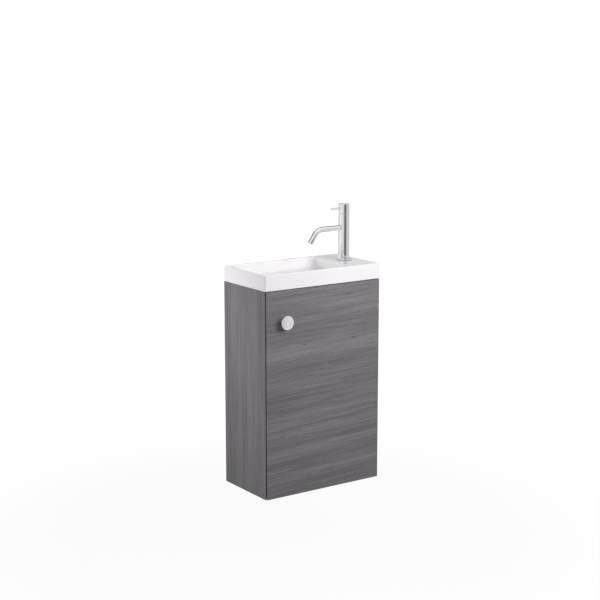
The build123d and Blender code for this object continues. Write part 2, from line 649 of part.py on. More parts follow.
with BuildPart() as knob_stem:
    outline = [
        (KNOB_SCREW_RADIUS + FIT_CLEARANCE, 0),
        (KNOB_STEM_FOOT, 0),
        (KNOB_STEM_FOOT, KNOB_STEM_FOOT_HEIGHT),
        (KNOB_STEM_RADIUS, 2 * KNOB_STEM_FOOT_HEIGHT),
        (KNOB_STEM_RADIUS, DISC_BACK),
        (KNOB_SCREW_RADIUS + FIT_CLEARANCE, DISC_BACK),
    ]
    turned((KNOB_X, FRONT, KNOB_Z), outline, (0, -1, 0))
keep(knob_stem.part, "knob_stem")

with BuildPart() as knob_screw:
    head = (KNOB_X, DOOR_BACK, KNOB_Z)
    rod(head, (0, -1, 0), KNOB_SCREW_RADIUS, DOOR_THICKNESS + DISC_BACK)
    cap = [
        (0, 0),
        (KNOB_SCREW_HEAD, 0),
        (KNOB_SCREW_HEAD, KNOB_SCREW_HEAD_HEIGHT / 2),
        (KNOB_SCREW_HEAD - KNOB_SCREW_HEAD_HEIGHT / 2, KNOB_SCREW_HEAD_HEIGHT),
        (0, KNOB_SCREW_HEAD_HEIGHT),
    ]
    turned(head, cap, (0, 1, 0))
keep(knob_screw.part, "knob_screw")

with BuildPart() as door_buffers:
    for z in (BOTTOM_MID, FRONT_RAIL_MID):
        spot = (-HALF + BUFFER_INSET, DOOR_BACK, z)
        outline = [
            (0, 0),
            (BUFFER_RADIUS, 0),
            (BUFFER_RADIUS, BUFFER_HEIGHT / 3),
            (BUFFER_RADIUS - BUFFER_HEIGHT, BUFFER_HEIGHT),
            (0, BUFFER_HEIGHT),
        ]
        turned(spot, outline, (0, 1, 0))
keep(door_buffers.part, "door_buffers")

# Basin: a solid block with a bowl, a tap deck and a pocket under the deck; tap and waste stand on
# the line midway between its front and its back
BASIN_HALF = BASIN_LENGTH / 2
TAP_X = BASIN_HALF - TAP_FROM_RIGHT
TAP_Y = -BASIN_DEPTH / 2
WASTE_Y = -BASIN_DEPTH / 2
BOWL_LEFT = -BASIN_HALF + BOWL_RIM
BOWL_RIGHT = BASIN_HALF - DECK_LENGTH
BOWL_FRONT = -BASIN_DEPTH + BOWL_RIM
WASTE_X = BOWL_RIGHT - WASTE_FROM_DECK
BOWL_BACK = -BOWL_RIM
BOWL_FLOOR = BASIN_TOP - BOWL_DEPTH
FLANGE_SEAT = BOWL_FLOOR - WASTE_FLANGE_THICKNESS - WASTE_GASKET_THICKNESS + WASTE_FLANGE_PROUD


def rounded_field(left, right, front, back, radius):
    """A rounded rectangle between its four sides, in the current sketch."""
    with Locations(((left + right) / 2, (front + back) / 2)):
        RectangleRounded(right - left, back - front, radius)


with BuildPart() as basin:
    slab((-BASIN_HALF, -BASIN_DEPTH, CABINET_TOP), (BASIN_HALF, 0, BASIN_TOP))
    fillet(basin.edges().filter_by(Axis.Z), BASIN_EDGE_RADIUS)
    fillet(basin.faces().sort_by(Axis.Z)[-1].edges(), BASIN_EDGE_RADIUS)
    with BuildSketch(Plane.XY.offset(BASIN_TOP)) as bowl_mouth:
        rounded_field(BOWL_LEFT, BOWL_RIGHT, BOWL_FRONT, BOWL_BACK, BOWL_CORNER_RADIUS)
    with BuildSketch(Plane.XY.offset(BOWL_FLOOR)) as bowl_floor:
        rounded_field(
            BOWL_LEFT + BOWL_END_SLOPE,
            BOWL_RIGHT - BOWL_DECK_SLOPE,
            BOWL_FRONT + BOWL_SIDE_SLOPE,
            BOWL_BACK - BOWL_SIDE_SLOPE,
            BOWL_FLOOR_CORNER_RADIUS,
        )
    loft(sections=[bowl_floor.sketch, bowl_mouth.sketch], mode=Mode.SUBTRACT)
    foot = basin.edges().filter_by_position(Axis.Z, BOWL_FLOOR - 0.1, BOWL_FLOOR + 0.1)
    fillet(foot, BOWL_FOOT_RADIUS)
    mouth = basin.edges().filter_by_position(Axis.Z, BASIN_TOP - 0.1, BASIN_TOP + 0.1)
    mouth = mouth.filter_by(lambda e: e.center().X < BOWL_RIGHT + 1 and e.center().X > BOWL_LEFT - 1)
    mouth = mouth.filter_by(lambda e: BOWL_FRONT - 1 < e.center().Y < BOWL_BACK + 1)
    fillet(mouth, BASIN_EDGE_RADIUS)
    with BuildSketch(Plane.XY.offset(CABINET_TOP)) as pocket:
        rounded_field(
            BOWL_RIGHT + DECK_POCKET_WALL,
            BASIN_HALF - DECK_POCKET_WALL - BOARD,
            -BASIN_DEPTH + DECK_POCKET_WALL + BOARD,
            -DECK_POCKET_WALL - BOARD,
            DECK_POCKET_CORNER,
        )
    extrude(pocket.sketch, amount=BASIN_HEIGHT - DECK_THICKNESS, mode=Mode.SUBTRACT)
    rod((TAP_X, TAP_Y, CABINET_TOP), (0, 0, 1), TAP_HOLE_RADIUS, BASIN_HEIGHT, Mode.SUBTRACT)
    rod((WASTE_X, WASTE_Y, CABINET_TOP), (0, 0, 1), WASTE_HOLE_RADIUS, BASIN_HEIGHT, Mode.SUBTRACT)
    recess = WASTE_FLANGE_RADIUS + WASTE_RECESS_CLEARANCE
    rod((WASTE_X, WASTE_Y, FLANGE_SEAT), (0, 0, 1), recess, BOWL_DEPTH, Mode.SUBTRACT)
keep(basin.part, "basin")

# Sealant bead in the corner between the basin's underside and the side panels
with BuildPart() as basin_sealant:
    for side in (-1, 1):
        corner = side * INNER
        with BuildSketch(Plane.XZ.offset(BOARD)) as bead:
            with BuildLine():
                Polyline(
                    (corner, CABINET_TOP),
                    (corner, CABINET_TOP - SEALANT_LEG),
                    (corner - side * SEALANT_LEG, CABINET_TOP),
                    close=True,
                )
            make_face()
        extrude(bead.sketch, amount=-CARCASS_FRONT - FRONT_RAIL_WIDTH - BOARD)
keep(basin_sealant.part, "basin_sealant")

# Tap, turned pieces first
TAP_FOOT = (TAP_X, TAP_Y, BASIN_TOP)
FLANGE_LOW = TAP_GASKET
FLANGE_HIGH = TAP_GASKET + TAP_FLANGE_HEIGHT
with BuildPart() as tap_base_gasket:
    ring(TAP_FOOT, TAP_NECK_RADIUS + FIT_CLEARANCE, TAP_FLANGE_RADIUS - TAP_GASKET_INSET, 0, TAP_GASKET)
keep(tap_base_gasket.part, "tap_base_gasket")

with BuildPart() as tap_base_flange:
    ring(TAP_FOOT, TAP_NECK_RADIUS + FIT_CLEARANCE, TAP_FLANGE_RADIUS, FLANGE_LOW, FLANGE_HIGH)
    rim = tap_base_flange.edges().filter_by(GeomType.CIRCLE).group_by(Axis.Z)[-1].sort_by(SortBy.RADIUS)[-1]
    fillet(rim, TAP_FLANGE_EDGE)
keep(tap_base_flange.part, "tap_base_flange")

with BuildPart() as tap_body:
    CAVITY_FLOOR = TAP_HEAD_BOTTOM - CARTRIDGE_LENGTH
    shell = [
        (TAP_NECK_RADIUS + FIT_CLEARANCE, FLANGE_HIGH),
        (TAP_RADIUS, FLANGE_HIGH),
        (TAP_RADIUS, TAP_HEAD_BOTTOM),
        (CARTRIDGE_RADIUS + FIT_CLEARANCE, TAP_HEAD_BOTTOM),
        (CARTRIDGE_RADIUS + FIT_CLEARANCE, CAVITY_FLOOR),
        (TAP_WATERWAY, CAVITY_FLOOR),
        (TAP_WATERWAY, FLANGE_HIGH + TAP_SHANK_IN_BODY),
        (TAP_NECK_RADIUS + FIT_CLEARANCE, FLANGE_HIGH + TAP_SHANK_IN_BODY),
    ]
    turned(TAP_FOOT, shell)
    top = tap_body.edges().filter_by(GeomType.CIRCLE).group_by(Axis.Z)[-1].sort_by(SortBy.RADIUS)[-1]
    chamfer(top, TAP_SEAM_BEVEL)
    seat = (TAP_X - TAP_RADIUS + SPOUT_SEAT, TAP_Y, BASIN_TOP + SPOUT_HEIGHT)
    rod(seat, (-1, 0, 0), SPOUT_RADIUS + FIT_CLEARANCE, TAP_RADIUS, Mode.SUBTRACT)
    rod((TAP_X, TAP_Y, BASIN_TOP + SPOUT_HEIGHT), (-1, 0, 0), TAP_WATERWAY, TAP_RADIUS, Mode.SUBTRACT)
keep(tap_body.part, "tap_body")

# Spout: one tube, straight, bent once and straight again
with BuildPart() as tap_spout:
    spout_start = Vector(TAP_X - TAP_RADIUS + SPOUT_SEAT, TAP_Y, BASIN_TOP + SPOUT_HEIGHT)
    bend_start = Vector(TAP_X - SPOUT_STRAIGHT, TAP_Y, spout_start.Z)
    bend_turn = radians(SPOUT_BEND_ANGLE)
    bend_end = bend_start + Vector(
        -SPOUT_BEND_RADIUS * sin(bend_turn),
        0,
        -SPOUT_BEND_RADIUS * (1 - cos(bend_turn)),
    )
    tail_way = Vector(-cos(bend_turn), 0, -sin(bend_turn))
    spout_end = bend_end + tail_way * SPOUT_TAIL
    with BuildLine() as spout_path:
        Line(spout_start, bend_start)
        TangentArc(bend_start, bend_end, tangent=(-1, 0, 0))
        Line(bend_end, spout_end)
    with BuildSketch(Plane(origin=spout_start, z_dir=(-1, 0, 0))) as tube_section:
        Circle(SPOUT_RADIUS)
        Circle(SPOUT_RADIUS - SPOUT_WALL, mode=Mode.SUBTRACT)
    sweep(tube_section.sketch, path=spout_path.line)
keep(tap_spout.part, "tap_spout")

with BuildPart() as tap_aerator:
    nozzle = [
        (AERATOR_BORE, 0),
        (AERATOR_RADIUS, 0),
        (AERATOR_RADIUS, AERATOR_LENGTH - AERATOR_BEVEL),
        (AERATOR_RADIUS - AERATOR_BEVEL, AERATOR_LENGTH),
        (AERATOR_BORE, AERATOR_LENGTH),
    ]
    with BuildSketch(Plane(origin=spout_end, x_dir=(0, 1, 0), z_dir=Vector(0, 1, 0).cross(tail_way))) as wall:
        with BuildLine():
            Polyline(*nozzle, close=True)
        make_face()
    revolve(wall.sketch, axis=Axis(spout_end, tail_way))
    with BuildSketch(Plane(origin=spout_end + tail_way * SCREEN_SUNK, z_dir=tail_way)) as screen:
        Circle(AERATOR_BORE)
        Circle(SCREEN_HOLE, mode=Mode.SUBTRACT)
        with PolarLocations(AERATOR_BORE - 2 * SCREEN_HOLE, SCREEN_HOLE_COUNT):
            Circle(SCREEN_HOLE, mode=Mode.SUBTRACT)
    extrude(screen.sketch, amount=SCREEN_HOLE)
keep(tap_aerator.part, "tap_aerator")

with BuildPart() as tap_cartridge:
    base = (TAP_X, TAP_Y, BASIN_TOP + TAP_HEAD_BOTTOM - CARTRIDGE_LENGTH)
    rod(base, (0, 0, 1), CARTRIDGE_RADIUS, CARTRIDGE_LENGTH)
    well = (TAP_X, TAP_Y, BASIN_TOP + TAP_HEAD_BOTTOM - SPINDLE_IN_CARTRIDGE - TAP_HEAD_SEAM)
    rod(well, (0, 0, 1), SPINDLE_RADIUS + FIT_CLEARANCE, 2 * SPINDLE_IN_CARTRIDGE, Mode.SUBTRACT)
    rod(base, (0, 0, 1), CARTRIDGE_PORT, CARTRIDGE_LENGTH / 3, Mode.SUBTRACT)
keep(tap_cartridge.part, "tap_cartridge")

HEAD_LOW = TAP_HEAD_BOTTOM + TAP_HEAD_SEAM
with BuildPart() as tap_spindle:
    foot_of_spindle = (TAP_X, TAP_Y, BASIN_TOP + TAP_HEAD_BOTTOM - SPINDLE_IN_CARTRIDGE)
    rod(foot_of_spindle, (0, 0, 1), SPINDLE_RADIUS, SPINDLE_IN_CARTRIDGE + TAP_HEAD_SEAM + SPINDLE_IN_HEAD)
keep(tap_spindle.part, "tap_spindle")

with BuildPart() as tap_head:
    crown = [
        (SPINDLE_RADIUS + FIT_CLEARANCE, HEAD_LOW),
        (TAP_RADIUS, HEAD_LOW),
        (TAP_RADIUS, TAP_HEIGHT),
        (0, TAP_HEIGHT),
        (0, HEAD_LOW + SPINDLE_IN_HEAD + FIT_CLEARANCE),
        (SPINDLE_RADIUS + FIT_CLEARANCE, HEAD_LOW + SPINDLE_IN_HEAD + FIT_CLEARANCE),
    ]
    turned(TAP_FOOT, crown)
    rims = tap_head.edges().filter_by(GeomType.CIRCLE).filter_by(lambda e: e.radius > TAP_RADIUS - 0.1)
    fillet(rims.group_by(Axis.Z)[-1], TAP_EDGE)
    chamfer(rims.group_by(Axis.Z)[0], TAP_SEAM_BEVEL)
    lever_seat = (TAP_X - TAP_RADIUS + LEVER_IN_HEAD, TAP_Y, BASIN_TOP + LEVER_HEIGHT)
    rod(lever_seat, (-1, 0, 0), LEVER_RADIUS + FIT_CLEARANCE, 2 * LEVER_IN_HEAD, Mode.SUBTRACT)
    grub_seat = (TAP_X + SPINDLE_RADIUS, TAP_Y, BASIN_TOP + HEAD_LOW + SPINDLE_IN_HEAD / 2)
    rod(grub_seat, (1, 0, 0), GRUB_RADIUS + FIT_CLEARANCE, TAP_RADIUS, Mode.SUBTRACT)
keep(tap_head.part, "tap_head")

with BuildPart() as tap_lever:
    rod(lever_seat, (-1, 0, 0), LEVER_RADIUS, LEVER_REACH - TAP_RADIUS + LEVER_IN_HEAD)
    fillet(tap_lever.edges().group_by(Axis.X)[0], LEVER_EDGE)
keep(tap_lever.part, "tap_lever")

with BuildPart() as tap_grub_screw:
    grub_start = (TAP_X + SPINDLE_RADIUS + FIT_CLEARANCE, TAP_Y, BASIN_TOP + HEAD_LOW + SPINDLE_IN_HEAD / 2)
    grub_length = TAP_RADIUS - SPINDLE_RADIUS - GRUB_SUNK
    rod(grub_start, (1, 0, 0), GRUB_RADIUS, grub_length)
    grub_end = (grub_start[0] + grub_length, TAP_Y, grub_start[2])
    with BuildSketch(Plane(origin=grub_end, z_dir=(-1, 0, 0))) as socket:
        RegularPolygon(GRUB_SOCKET, 6)
    extrude(socket.sketch, amount=GRUB_RADIUS, mode=Mode.SUBTRACT)
keep(tap_grub_screw.part, "tap_grub_screw")

# Shank: a plain neck through the deck, and a threaded inlet end below the nut
with BuildPart() as tap_shank:
    bore = TAP_NECK_RADIUS - TAP_SHANK_WALL
    neck_low = -TAP_SHANK_LENGTH + TAP_INLET_LENGTH
    neck_high = FLANGE_HIGH + TAP_SHANK_IN_BODY - FIT_CLEARANCE
    outline = [
        (bore, -TAP_SHANK_LENGTH),
        (TAP_SHANK_RADIUS, -TAP_SHANK_LENGTH),
        (TAP_SHANK_RADIUS, neck_low),
        (TAP_NECK_RADIUS, neck_low),
        (TAP_NECK_RADIUS, neck_high),
        (bore, neck_high),
    ]
    turned(TAP_FOOT, outline)
keep(tap_shank.part, "tap_shank")

with BuildPart() as tap_washer:
    washer_low = -DECK_THICKNESS - TAP_WASHER_THICKNESS
    ring(TAP_FOOT, TAP_NECK_RADIUS + FIT_CLEARANCE, TAP_WASHER_RADIUS, washer_low, -DECK_THICKNESS)
keep(tap_washer.part, "tap_washer")

NUT_TOP = BASIN_TOP - DECK_THICKNESS - TAP_WASHER_THICKNESS
with BuildPart() as tap_fixing_nut:
    nut(TAP_FOOT, TAP_NECK_RADIUS + FIT_CLEARANCE, TAP_NUT_ACROSS_CORNERS, NUT_TOP - TAP_NUT_HEIGHT, NUT_TOP)
keep(tap_fixing_nut.part, "tap_fixing_nut")

# Waste, always open, because the basin has no overflow
WASTE_FOOT = (WASTE_X, WASTE_Y, 0)
GRID_LOW = FLANGE_SEAT + WASTE_GASKET_THICKNESS
GRID_HIGH = GRID_LOW + WASTE_FLANGE_THICKNESS
TAIL_LOW = CABINET_TOP - WASTE_TAIL_BELOW
TAIL_BORE = WASTE_TAIL_RADIUS - WASTE_TAIL_WALL
with BuildPart() as waste_upper_gasket:
    ring(WASTE_FOOT, WASTE_HOLE_RADIUS, WASTE_GASKET_RADIUS, FLANGE_SEAT, GRID_LOW)
keep(waste_upper_gasket.part, "waste_upper_gasket")

with BuildPart() as waste_grid:
    ring(WASTE_FOOT, WASTE_SCREW_RADIUS + FIT_CLEARANCE, WASTE_FLANGE_RADIUS, GRID_LOW, GRID_HIGH)
    fillet(waste_grid.edges().group_by(Axis.Z)[-1].sort_by(SortBy.RADIUS)[-1], WASTE_FLANGE_EDGE)
    with BuildSketch(Plane.XY.offset(GRID_LOW)) as slots:
        with Locations((WASTE_X, WASTE_Y)):
            with PolarLocations(WASTE_SLOT_CIRCLE, WASTE_SLOT_COUNT):
                SlotOverall(WASTE_SLOT_LENGTH, WASTE_SLOT_WIDTH)
    extrude(slots.sketch, amount=WASTE_FLANGE_THICKNESS, mode=Mode.SUBTRACT)
keep(waste_grid.part, "waste_grid")

with BuildPart() as waste_tail:
    ring(WASTE_FOOT, TAIL_BORE, WASTE_TAIL_RADIUS, TAIL_LOW, GRID_LOW)
    bridge_low = GRID_LOW - WASTE_BRIDGE
    bridge_end = (TAIL_BORE + WASTE_TAIL_RADIUS) / 2
    slab(
        (WASTE_X - bridge_end, WASTE_Y - WASTE_BRIDGE_WIDTH / 2, bridge_low),
        (WASTE_X + bridge_end, WASTE_Y + WASTE_BRIDGE_WIDTH / 2, GRID_LOW),
    )
    screw_bore = WASTE_SCREW_RADIUS + FIT_CLEARANCE
    rod((WASTE_X, WASTE_Y, bridge_low), (0, 0, 1), screw_bore, WASTE_BRIDGE, Mode.SUBTRACT)
keep(waste_tail.part, "waste_tail")

with BuildPart() as waste_screw:
    rod((WASTE_X, WASTE_Y, bridge_low), (0, 0, 1), WASTE_SCREW_RADIUS, GRID_HIGH - bridge_low)
    dome = [
        (0, 0),
        (WASTE_SCREW_HEAD, 0),
        (WASTE_SCREW_HEAD, WASTE_SCREW_HEAD_HEIGHT / 3),
        (WASTE_SCREW_HEAD - WASTE_SCREW_HEAD_HEIGHT, WASTE_SCREW_HEAD_HEIGHT),
        (0, WASTE_SCREW_HEAD_HEIGHT),
    ]
    turned((WASTE_X, WASTE_Y, GRID_HIGH), dome)
    slab(
        (WASTE_X - WASTE_SCREW_HEAD, WASTE_Y - CROSS_WIDTH / 2, GRID_HIGH + WASTE_SCREW_HEAD_HEIGHT / 2),
        (WASTE_X + WASTE_SCREW_HEAD, WASTE_Y + CROSS_WIDTH / 2, GRID_HIGH + WASTE_SCREW_HEAD_HEIGHT),
        Mode.SUBTRACT,
    )
keep(waste_screw.part, "waste_screw")

with BuildPart() as waste_lower_gasket:
    gasket_low = CABINET_TOP - WASTE_LOWER_GASKET
    ring(WASTE_FOOT, WASTE_TAIL_RADIUS + FIT_CLEARANCE, WASTE_LOWER_RADIUS, gasket_low, CABINET_TOP)
keep(waste_lower_gasket.part, "waste_lower_gasket")

with BuildPart() as waste_back_nut:
    nut_low = gasket_low - WASTE_NUT_HEIGHT
    nut(WASTE_FOOT, WASTE_TAIL_RADIUS + FIT_CLEARANCE, WASTE_NUT_ACROSS_CORNERS, nut_low, gasket_low)
keep(waste_back_nut.part, "waste_back_nut")

# Bottle trap under the waste
TUBE_BORE = TRAP_TUBE_RADIUS - TRAP_TUBE_WALL
COLLAR_TOP = TAIL_LOW - TRAP_SEAL
COLLAR_LOW = COLLAR_TOP - TRAP_COLLAR
NUT_BORE = WASTE_TAIL_RADIUS + FIT_CLEARANCE
BODY_TOP = TAIL_LOW - TRAP_BODY_DROP
BODY_LOW = BODY_TOP - TRAP_BODY_HEIGHT
BODY_BORE = TRAP_BODY_RADIUS - TRAP_BODY_WALL
CUP_RIM = BODY_LOW - TRAP_SEAL
CUP_LOW = CUP_RIM - TRAP_CUP_HEIGHT
OUTLET_Z = BODY_TOP - TRAP_OUTLET_DROP
SOCKET_END = WASTE_Y + TRAP_BODY_RADIUS + TRAP_SOCKET_LENGTH
OUTLET_START = WASTE_Y + TRAP_BODY_RADIUS + TRAP_TUBE_SEAT

with BuildPart() as trap_inlet_seal:
    ring(WASTE_FOOT, TRAP_TUBE_RADIUS, TRAP_COLLAR_RADIUS, COLLAR_TOP, TAIL_LOW)
keep(trap_inlet_seal.part, "trap_inlet_seal")

with BuildPart() as trap_dip_tube:
    tube = [
        (TUBE_BORE, CUP_LOW + TRAP_DIP_ABOVE_FLOOR),
        (TRAP_TUBE_RADIUS, CUP_LOW + TRAP_DIP_ABOVE_FLOOR),
        (TRAP_TUBE_RADIUS, COLLAR_LOW),
        (TRAP_COLLAR_RADIUS, COLLAR_LOW),
        (TRAP_COLLAR_RADIUS, COLLAR_TOP),
        (TUBE_BORE, COLLAR_TOP),
    ]
    turned(WASTE_FOOT, tube)
keep(trap_dip_tube.part, "trap_dip_tube")

with BuildPart() as trap_inlet_nut:
    nut_outside = NUT_BORE + TRAP_NUT_WALL
    lip_low = COLLAR_LOW - TRAP_NUT_LIP
    shell = [
        (TRAP_TUBE_RADIUS + FIT_CLEARANCE, lip_low),
        (nut_outside - TRAP_NUT_EDGE, lip_low),
        (nut_outside, lip_low + TRAP_NUT_EDGE),
        (nut_outside, TAIL_LOW + TRAP_NUT_GRIP),
        (NUT_BORE, TAIL_LOW + TRAP_NUT_GRIP),
        (NUT_BORE, COLLAR_LOW),
        (TRAP_TUBE_RADIUS + FIT_CLEARANCE, COLLAR_LOW),
    ]
    turned(WASTE_FOOT, shell)
keep(trap_inlet_nut.part, "trap_inlet_nut")

with BuildPart() as trap_body:
    bell = [
        (BODY_BORE, BODY_LOW),
        (TRAP_BODY_RADIUS, BODY_LOW),
        (TRAP_BODY_RADIUS, BODY_TOP - TRAP_SHOULDER),
        (TRAP_BODY_RADIUS - TRAP_SHOULDER, BODY_TOP),
        (TRAP_NECK_RADIUS, BODY_TOP),
        (TRAP_NECK_RADIUS, BODY_TOP + TRAP_NECK_HEIGHT),
        (TRAP_TUBE_RADIUS + FIT_CLEARANCE, BODY_TOP + TRAP_NECK_HEIGHT),
        (TRAP_TUBE_RADIUS + FIT_CLEARANCE, BODY_TOP - TRAP_BODY_WALL),
        (BODY_BORE - TRAP_SHOULDER, BODY_TOP - TRAP_BODY_WALL),
        (BODY_BORE, BODY_TOP - TRAP_BODY_WALL - TRAP_SHOULDER),
    ]
    turned(WASTE_FOOT, bell)
    socket_start = (WASTE_X, WASTE_Y + TRAP_NECK_RADIUS, OUTLET_Z)
    rod(socket_start, (0, 1, 0), TRAP_SOCKET_RADIUS, SOCKET_END - socket_start[1])
    rod(socket_start, (0, 1, 0), TUBE_BORE - TRAP_PORT_STEP, SOCKET_END - socket_start[1], Mode.SUBTRACT)
    tube_seat = (WASTE_X, OUTLET_START, OUTLET_Z)
    rod(tube_seat, (0, 1, 0), TRAP_TUBE_RADIUS + FIT_CLEARANCE, SOCKET_END - OUTLET_START, Mode.SUBTRACT)
    chamber = TRAP_BODY_HEIGHT - TRAP_BODY_WALL - TRAP_SHOULDER
    rod((WASTE_X, WASTE_Y, BODY_LOW), (0, 0, 1), BODY_BORE, chamber, Mode.SUBTRACT)
keep(trap_body.part, "trap_body")

with BuildPart() as trap_cup_seal:
    ring(WASTE_FOOT, BODY_BORE, TRAP_BODY_RADIUS - FIT_CLEARANCE, CUP_RIM, BODY_LOW)
keep(trap_cup_seal.part, "trap_cup_seal")

with BuildPart() as trap_cup:
    spigot = BODY_BORE - FIT_CLEARANCE
    cup_bore = BODY_BORE - TRAP_BODY_WALL
    beaker = [
        (0, CUP_LOW),
        (TRAP_BODY_RADIUS - TRAP_CUP_TAPER, CUP_LOW),
        (TRAP_BODY_RADIUS - TRAP_CUP_TAPER / 3, CUP_LOW + TRAP_CUP_TAPER / 3),
        (TRAP_BODY_RADIUS, CUP_LOW + TRAP_CUP_TAPER),
        (TRAP_BODY_RADIUS, CUP_RIM),
        (spigot, CUP_RIM),
        (spigot, CUP_RIM + TRAP_CUP_SPIGOT),
        (cup_bore, CUP_RIM + TRAP_CUP_SPIGOT),
        (cup_bore, CUP_LOW + TRAP_CUP_TAPER + TRAP_BODY_WALL),
        (cup_bore - TRAP_CUP_TAPER, CUP_LOW + TRAP_BODY_WALL),
        (0, CUP_LOW + TRAP_BODY_WALL),
    ]
    turned(WASTE_FOOT, beaker)
keep(trap_cup.part, "trap_cup")

# Trap outlet to the wall
OUTLET_FOOT = (WASTE_X, SOCKET_END, OUTLET_Z)
with BuildPart() as trap_outlet_seal:
    ring(OUTLET_FOOT, TRAP_TUBE_RADIUS + FIT_CLEARANCE, TRAP_SOCKET_RADIUS, 0, TRAP_SEAL, (0, 1, 0))
keep(trap_outlet_seal.part, "trap_outlet_seal")

with BuildPart() as trap_outlet_nut:
    outlet_bore = TRAP_SOCKET_RADIUS + FIT_CLEARANCE
    cap = [
        (outlet_bore, -TRAP_NUT_GRIP),
        (outlet_bore + TRAP_NUT_WALL, -TRAP_NUT_GRIP),
        (outlet_bore + TRAP_NUT_WALL, TRAP_SEAL + TRAP_NUT_LIP - TRAP_NUT_EDGE),
        (outlet_bore + TRAP_NUT_WALL - TRAP_NUT_EDGE, TRAP_SEAL + TRAP_NUT_LIP),
        (TRAP_TUBE_RADIUS + FIT_CLEARANCE, TRAP_SEAL + TRAP_NUT_LIP),
        (TRAP_TUBE_RADIUS + FIT_CLEARANCE, TRAP_SEAL),
        (outlet_bore, TRAP_SEAL),
    ]
    turned(OUTLET_FOOT, cap, (0, 1, 0))
keep(trap_outlet_nut.part, "trap_outlet_nut")

with BuildPart() as trap_outlet_tube:
    ring((WASTE_X, OUTLET_START, OUTLET_Z), TUBE_BORE, TRAP_TUBE_RADIUS, 0, -OUTLET_START, (0, 1, 0))
keep(trap_outlet_tube.part, "trap_outlet_tube")

with BuildPart() as wall_rosette:
    rose_bore = TRAP_TUBE_RADIUS + FIT_CLEARANCE
    rose = [
        (rose_bore, -ROSETTE_DEPTH),
        (rose_bore + ROSETTE_WALL, -ROSETTE_DEPTH),
        (ROSETTE_RADIUS - ROSETTE_WALL, -2 * ROSETTE_WALL),
        (ROSETTE_RADIUS, -ROSETTE_WALL),
        (ROSETTE_RADIUS, 0),
        (ROSETTE_RADIUS - ROSETTE_WALL, 0),
        (rose_bore + ROSETTE_WALL, -ROSETTE_DEPTH + ROSETTE_WALL),
        (rose_bore, -ROSETTE_DEPTH + ROSETTE_WALL),
    ]
    turned((WASTE_X, 0, OUTLET_Z), rose, (0, 1, 0))
keep(wall_rosette.part, "wall_rosette")

print(len(pieces), "pieces")
print("cup pin", CUP_PIN, "arm pin", ARM_PIN, "hinge levels", HINGE_LEVELS)
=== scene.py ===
# The looks of a wall-hung cloakroom vanity unit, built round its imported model. All lengths in metres.
import json
import math

import bmesh
import bpy
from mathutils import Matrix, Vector


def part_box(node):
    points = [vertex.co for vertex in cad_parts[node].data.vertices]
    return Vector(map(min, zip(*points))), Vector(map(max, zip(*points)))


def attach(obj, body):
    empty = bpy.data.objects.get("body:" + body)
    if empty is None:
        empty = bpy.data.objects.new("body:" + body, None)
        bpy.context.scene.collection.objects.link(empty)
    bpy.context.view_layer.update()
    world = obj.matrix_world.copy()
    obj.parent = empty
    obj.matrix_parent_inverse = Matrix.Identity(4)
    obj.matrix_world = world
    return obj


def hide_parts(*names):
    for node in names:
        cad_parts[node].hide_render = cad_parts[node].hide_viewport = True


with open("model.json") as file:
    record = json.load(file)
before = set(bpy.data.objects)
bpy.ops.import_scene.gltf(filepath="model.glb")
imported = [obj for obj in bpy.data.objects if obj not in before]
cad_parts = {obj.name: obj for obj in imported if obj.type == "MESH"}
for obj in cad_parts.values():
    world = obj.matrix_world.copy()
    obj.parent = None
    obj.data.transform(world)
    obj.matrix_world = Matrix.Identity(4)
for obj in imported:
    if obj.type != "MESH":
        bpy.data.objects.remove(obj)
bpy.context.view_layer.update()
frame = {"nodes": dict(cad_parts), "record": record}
MM = 0.001
NODES = frame["nodes"]
SLOT_OF = {row["node"]: row["material_slot"] for row in frame["record"]["subparts"]}
BODY_OF = {node: body for body, members in frame["record"]["behaviour"]["bodies"].items() for node in members}

# Camera, solved from the picture's edges
CAMERA_PLACE = (-2.2403, -3.3570, 0.7279)
CAMERA_HEADING = math.radians(34.511)
CAMERA_DIP = math.radians(10.748)
CAMERA_LENS = 82.45
FLOOR_LEVEL = -0.765


# Shader helpers
def new_material(name, **inputs):
    """A material with its tree and its Principled shader, whose plain inputs are set by name."""
    material = bpy.data.materials.new(name)
    material.use_nodes = True
    tree = material.node_tree
    shader = tree.nodes["Principled BSDF"]
    for key, value in inputs.items():
        shader.inputs[key.replace("_", " ")].default_value = value
    return material, tree, shader


def add(tree, kind, inputs=None, **settings):
    """A node with its settings; inputs holds plain values or the sockets that feed it."""
    node = tree.nodes.new(kind)
    for key, value in settings.items():
        setattr(node, key, value)
    for key, value in (inputs or {}).items():
        socket = node.inputs[key]
        if isinstance(value, bpy.types.NodeSocket):
            tree.links.new(value, socket)
        else:
            socket.default_value = value
    return node


def result(tree, kind, inputs=None, **settings):
    """The first output of a new node."""
    return add(tree, kind, inputs, **settings).outputs[0]


def calc(tree, operation, *values):
    """A math node's result."""
    return result(tree, "ShaderNodeMath", dict(enumerate(values)), operation=operation)


def times(tree, *values):
    """Two values multiplied."""
    return calc(tree, "MULTIPLY", *values)


def noise(tree, vector, scale, detail=2.0, roughness=0.5):
    """A noise value from 0 to 1."""
    settings = {"Vector": vector, "Scale": scale, "Detail": detail, "Roughness": roughness}
    return add(tree, "ShaderNodeTexNoise", settings).outputs["Fac"]


def size3(tree, x, y, z):
    """A vector from three sizes."""
    return result(tree, "ShaderNodeCombineXYZ", {"X": x, "Y": y, "Z": z})


def stretched(tree, vector, factors):
    """A vector scaled by its own factor on each axis."""
    return result(tree, "ShaderNodeVectorMath", {0: vector, 1: factors}, operation="MULTIPLY")


def away_from(tree, vector, point):
    """A vector measured from a point."""
    return result(tree, "ShaderNodeVectorMath", {0: vector, 1: point}, operation="SUBTRACT")


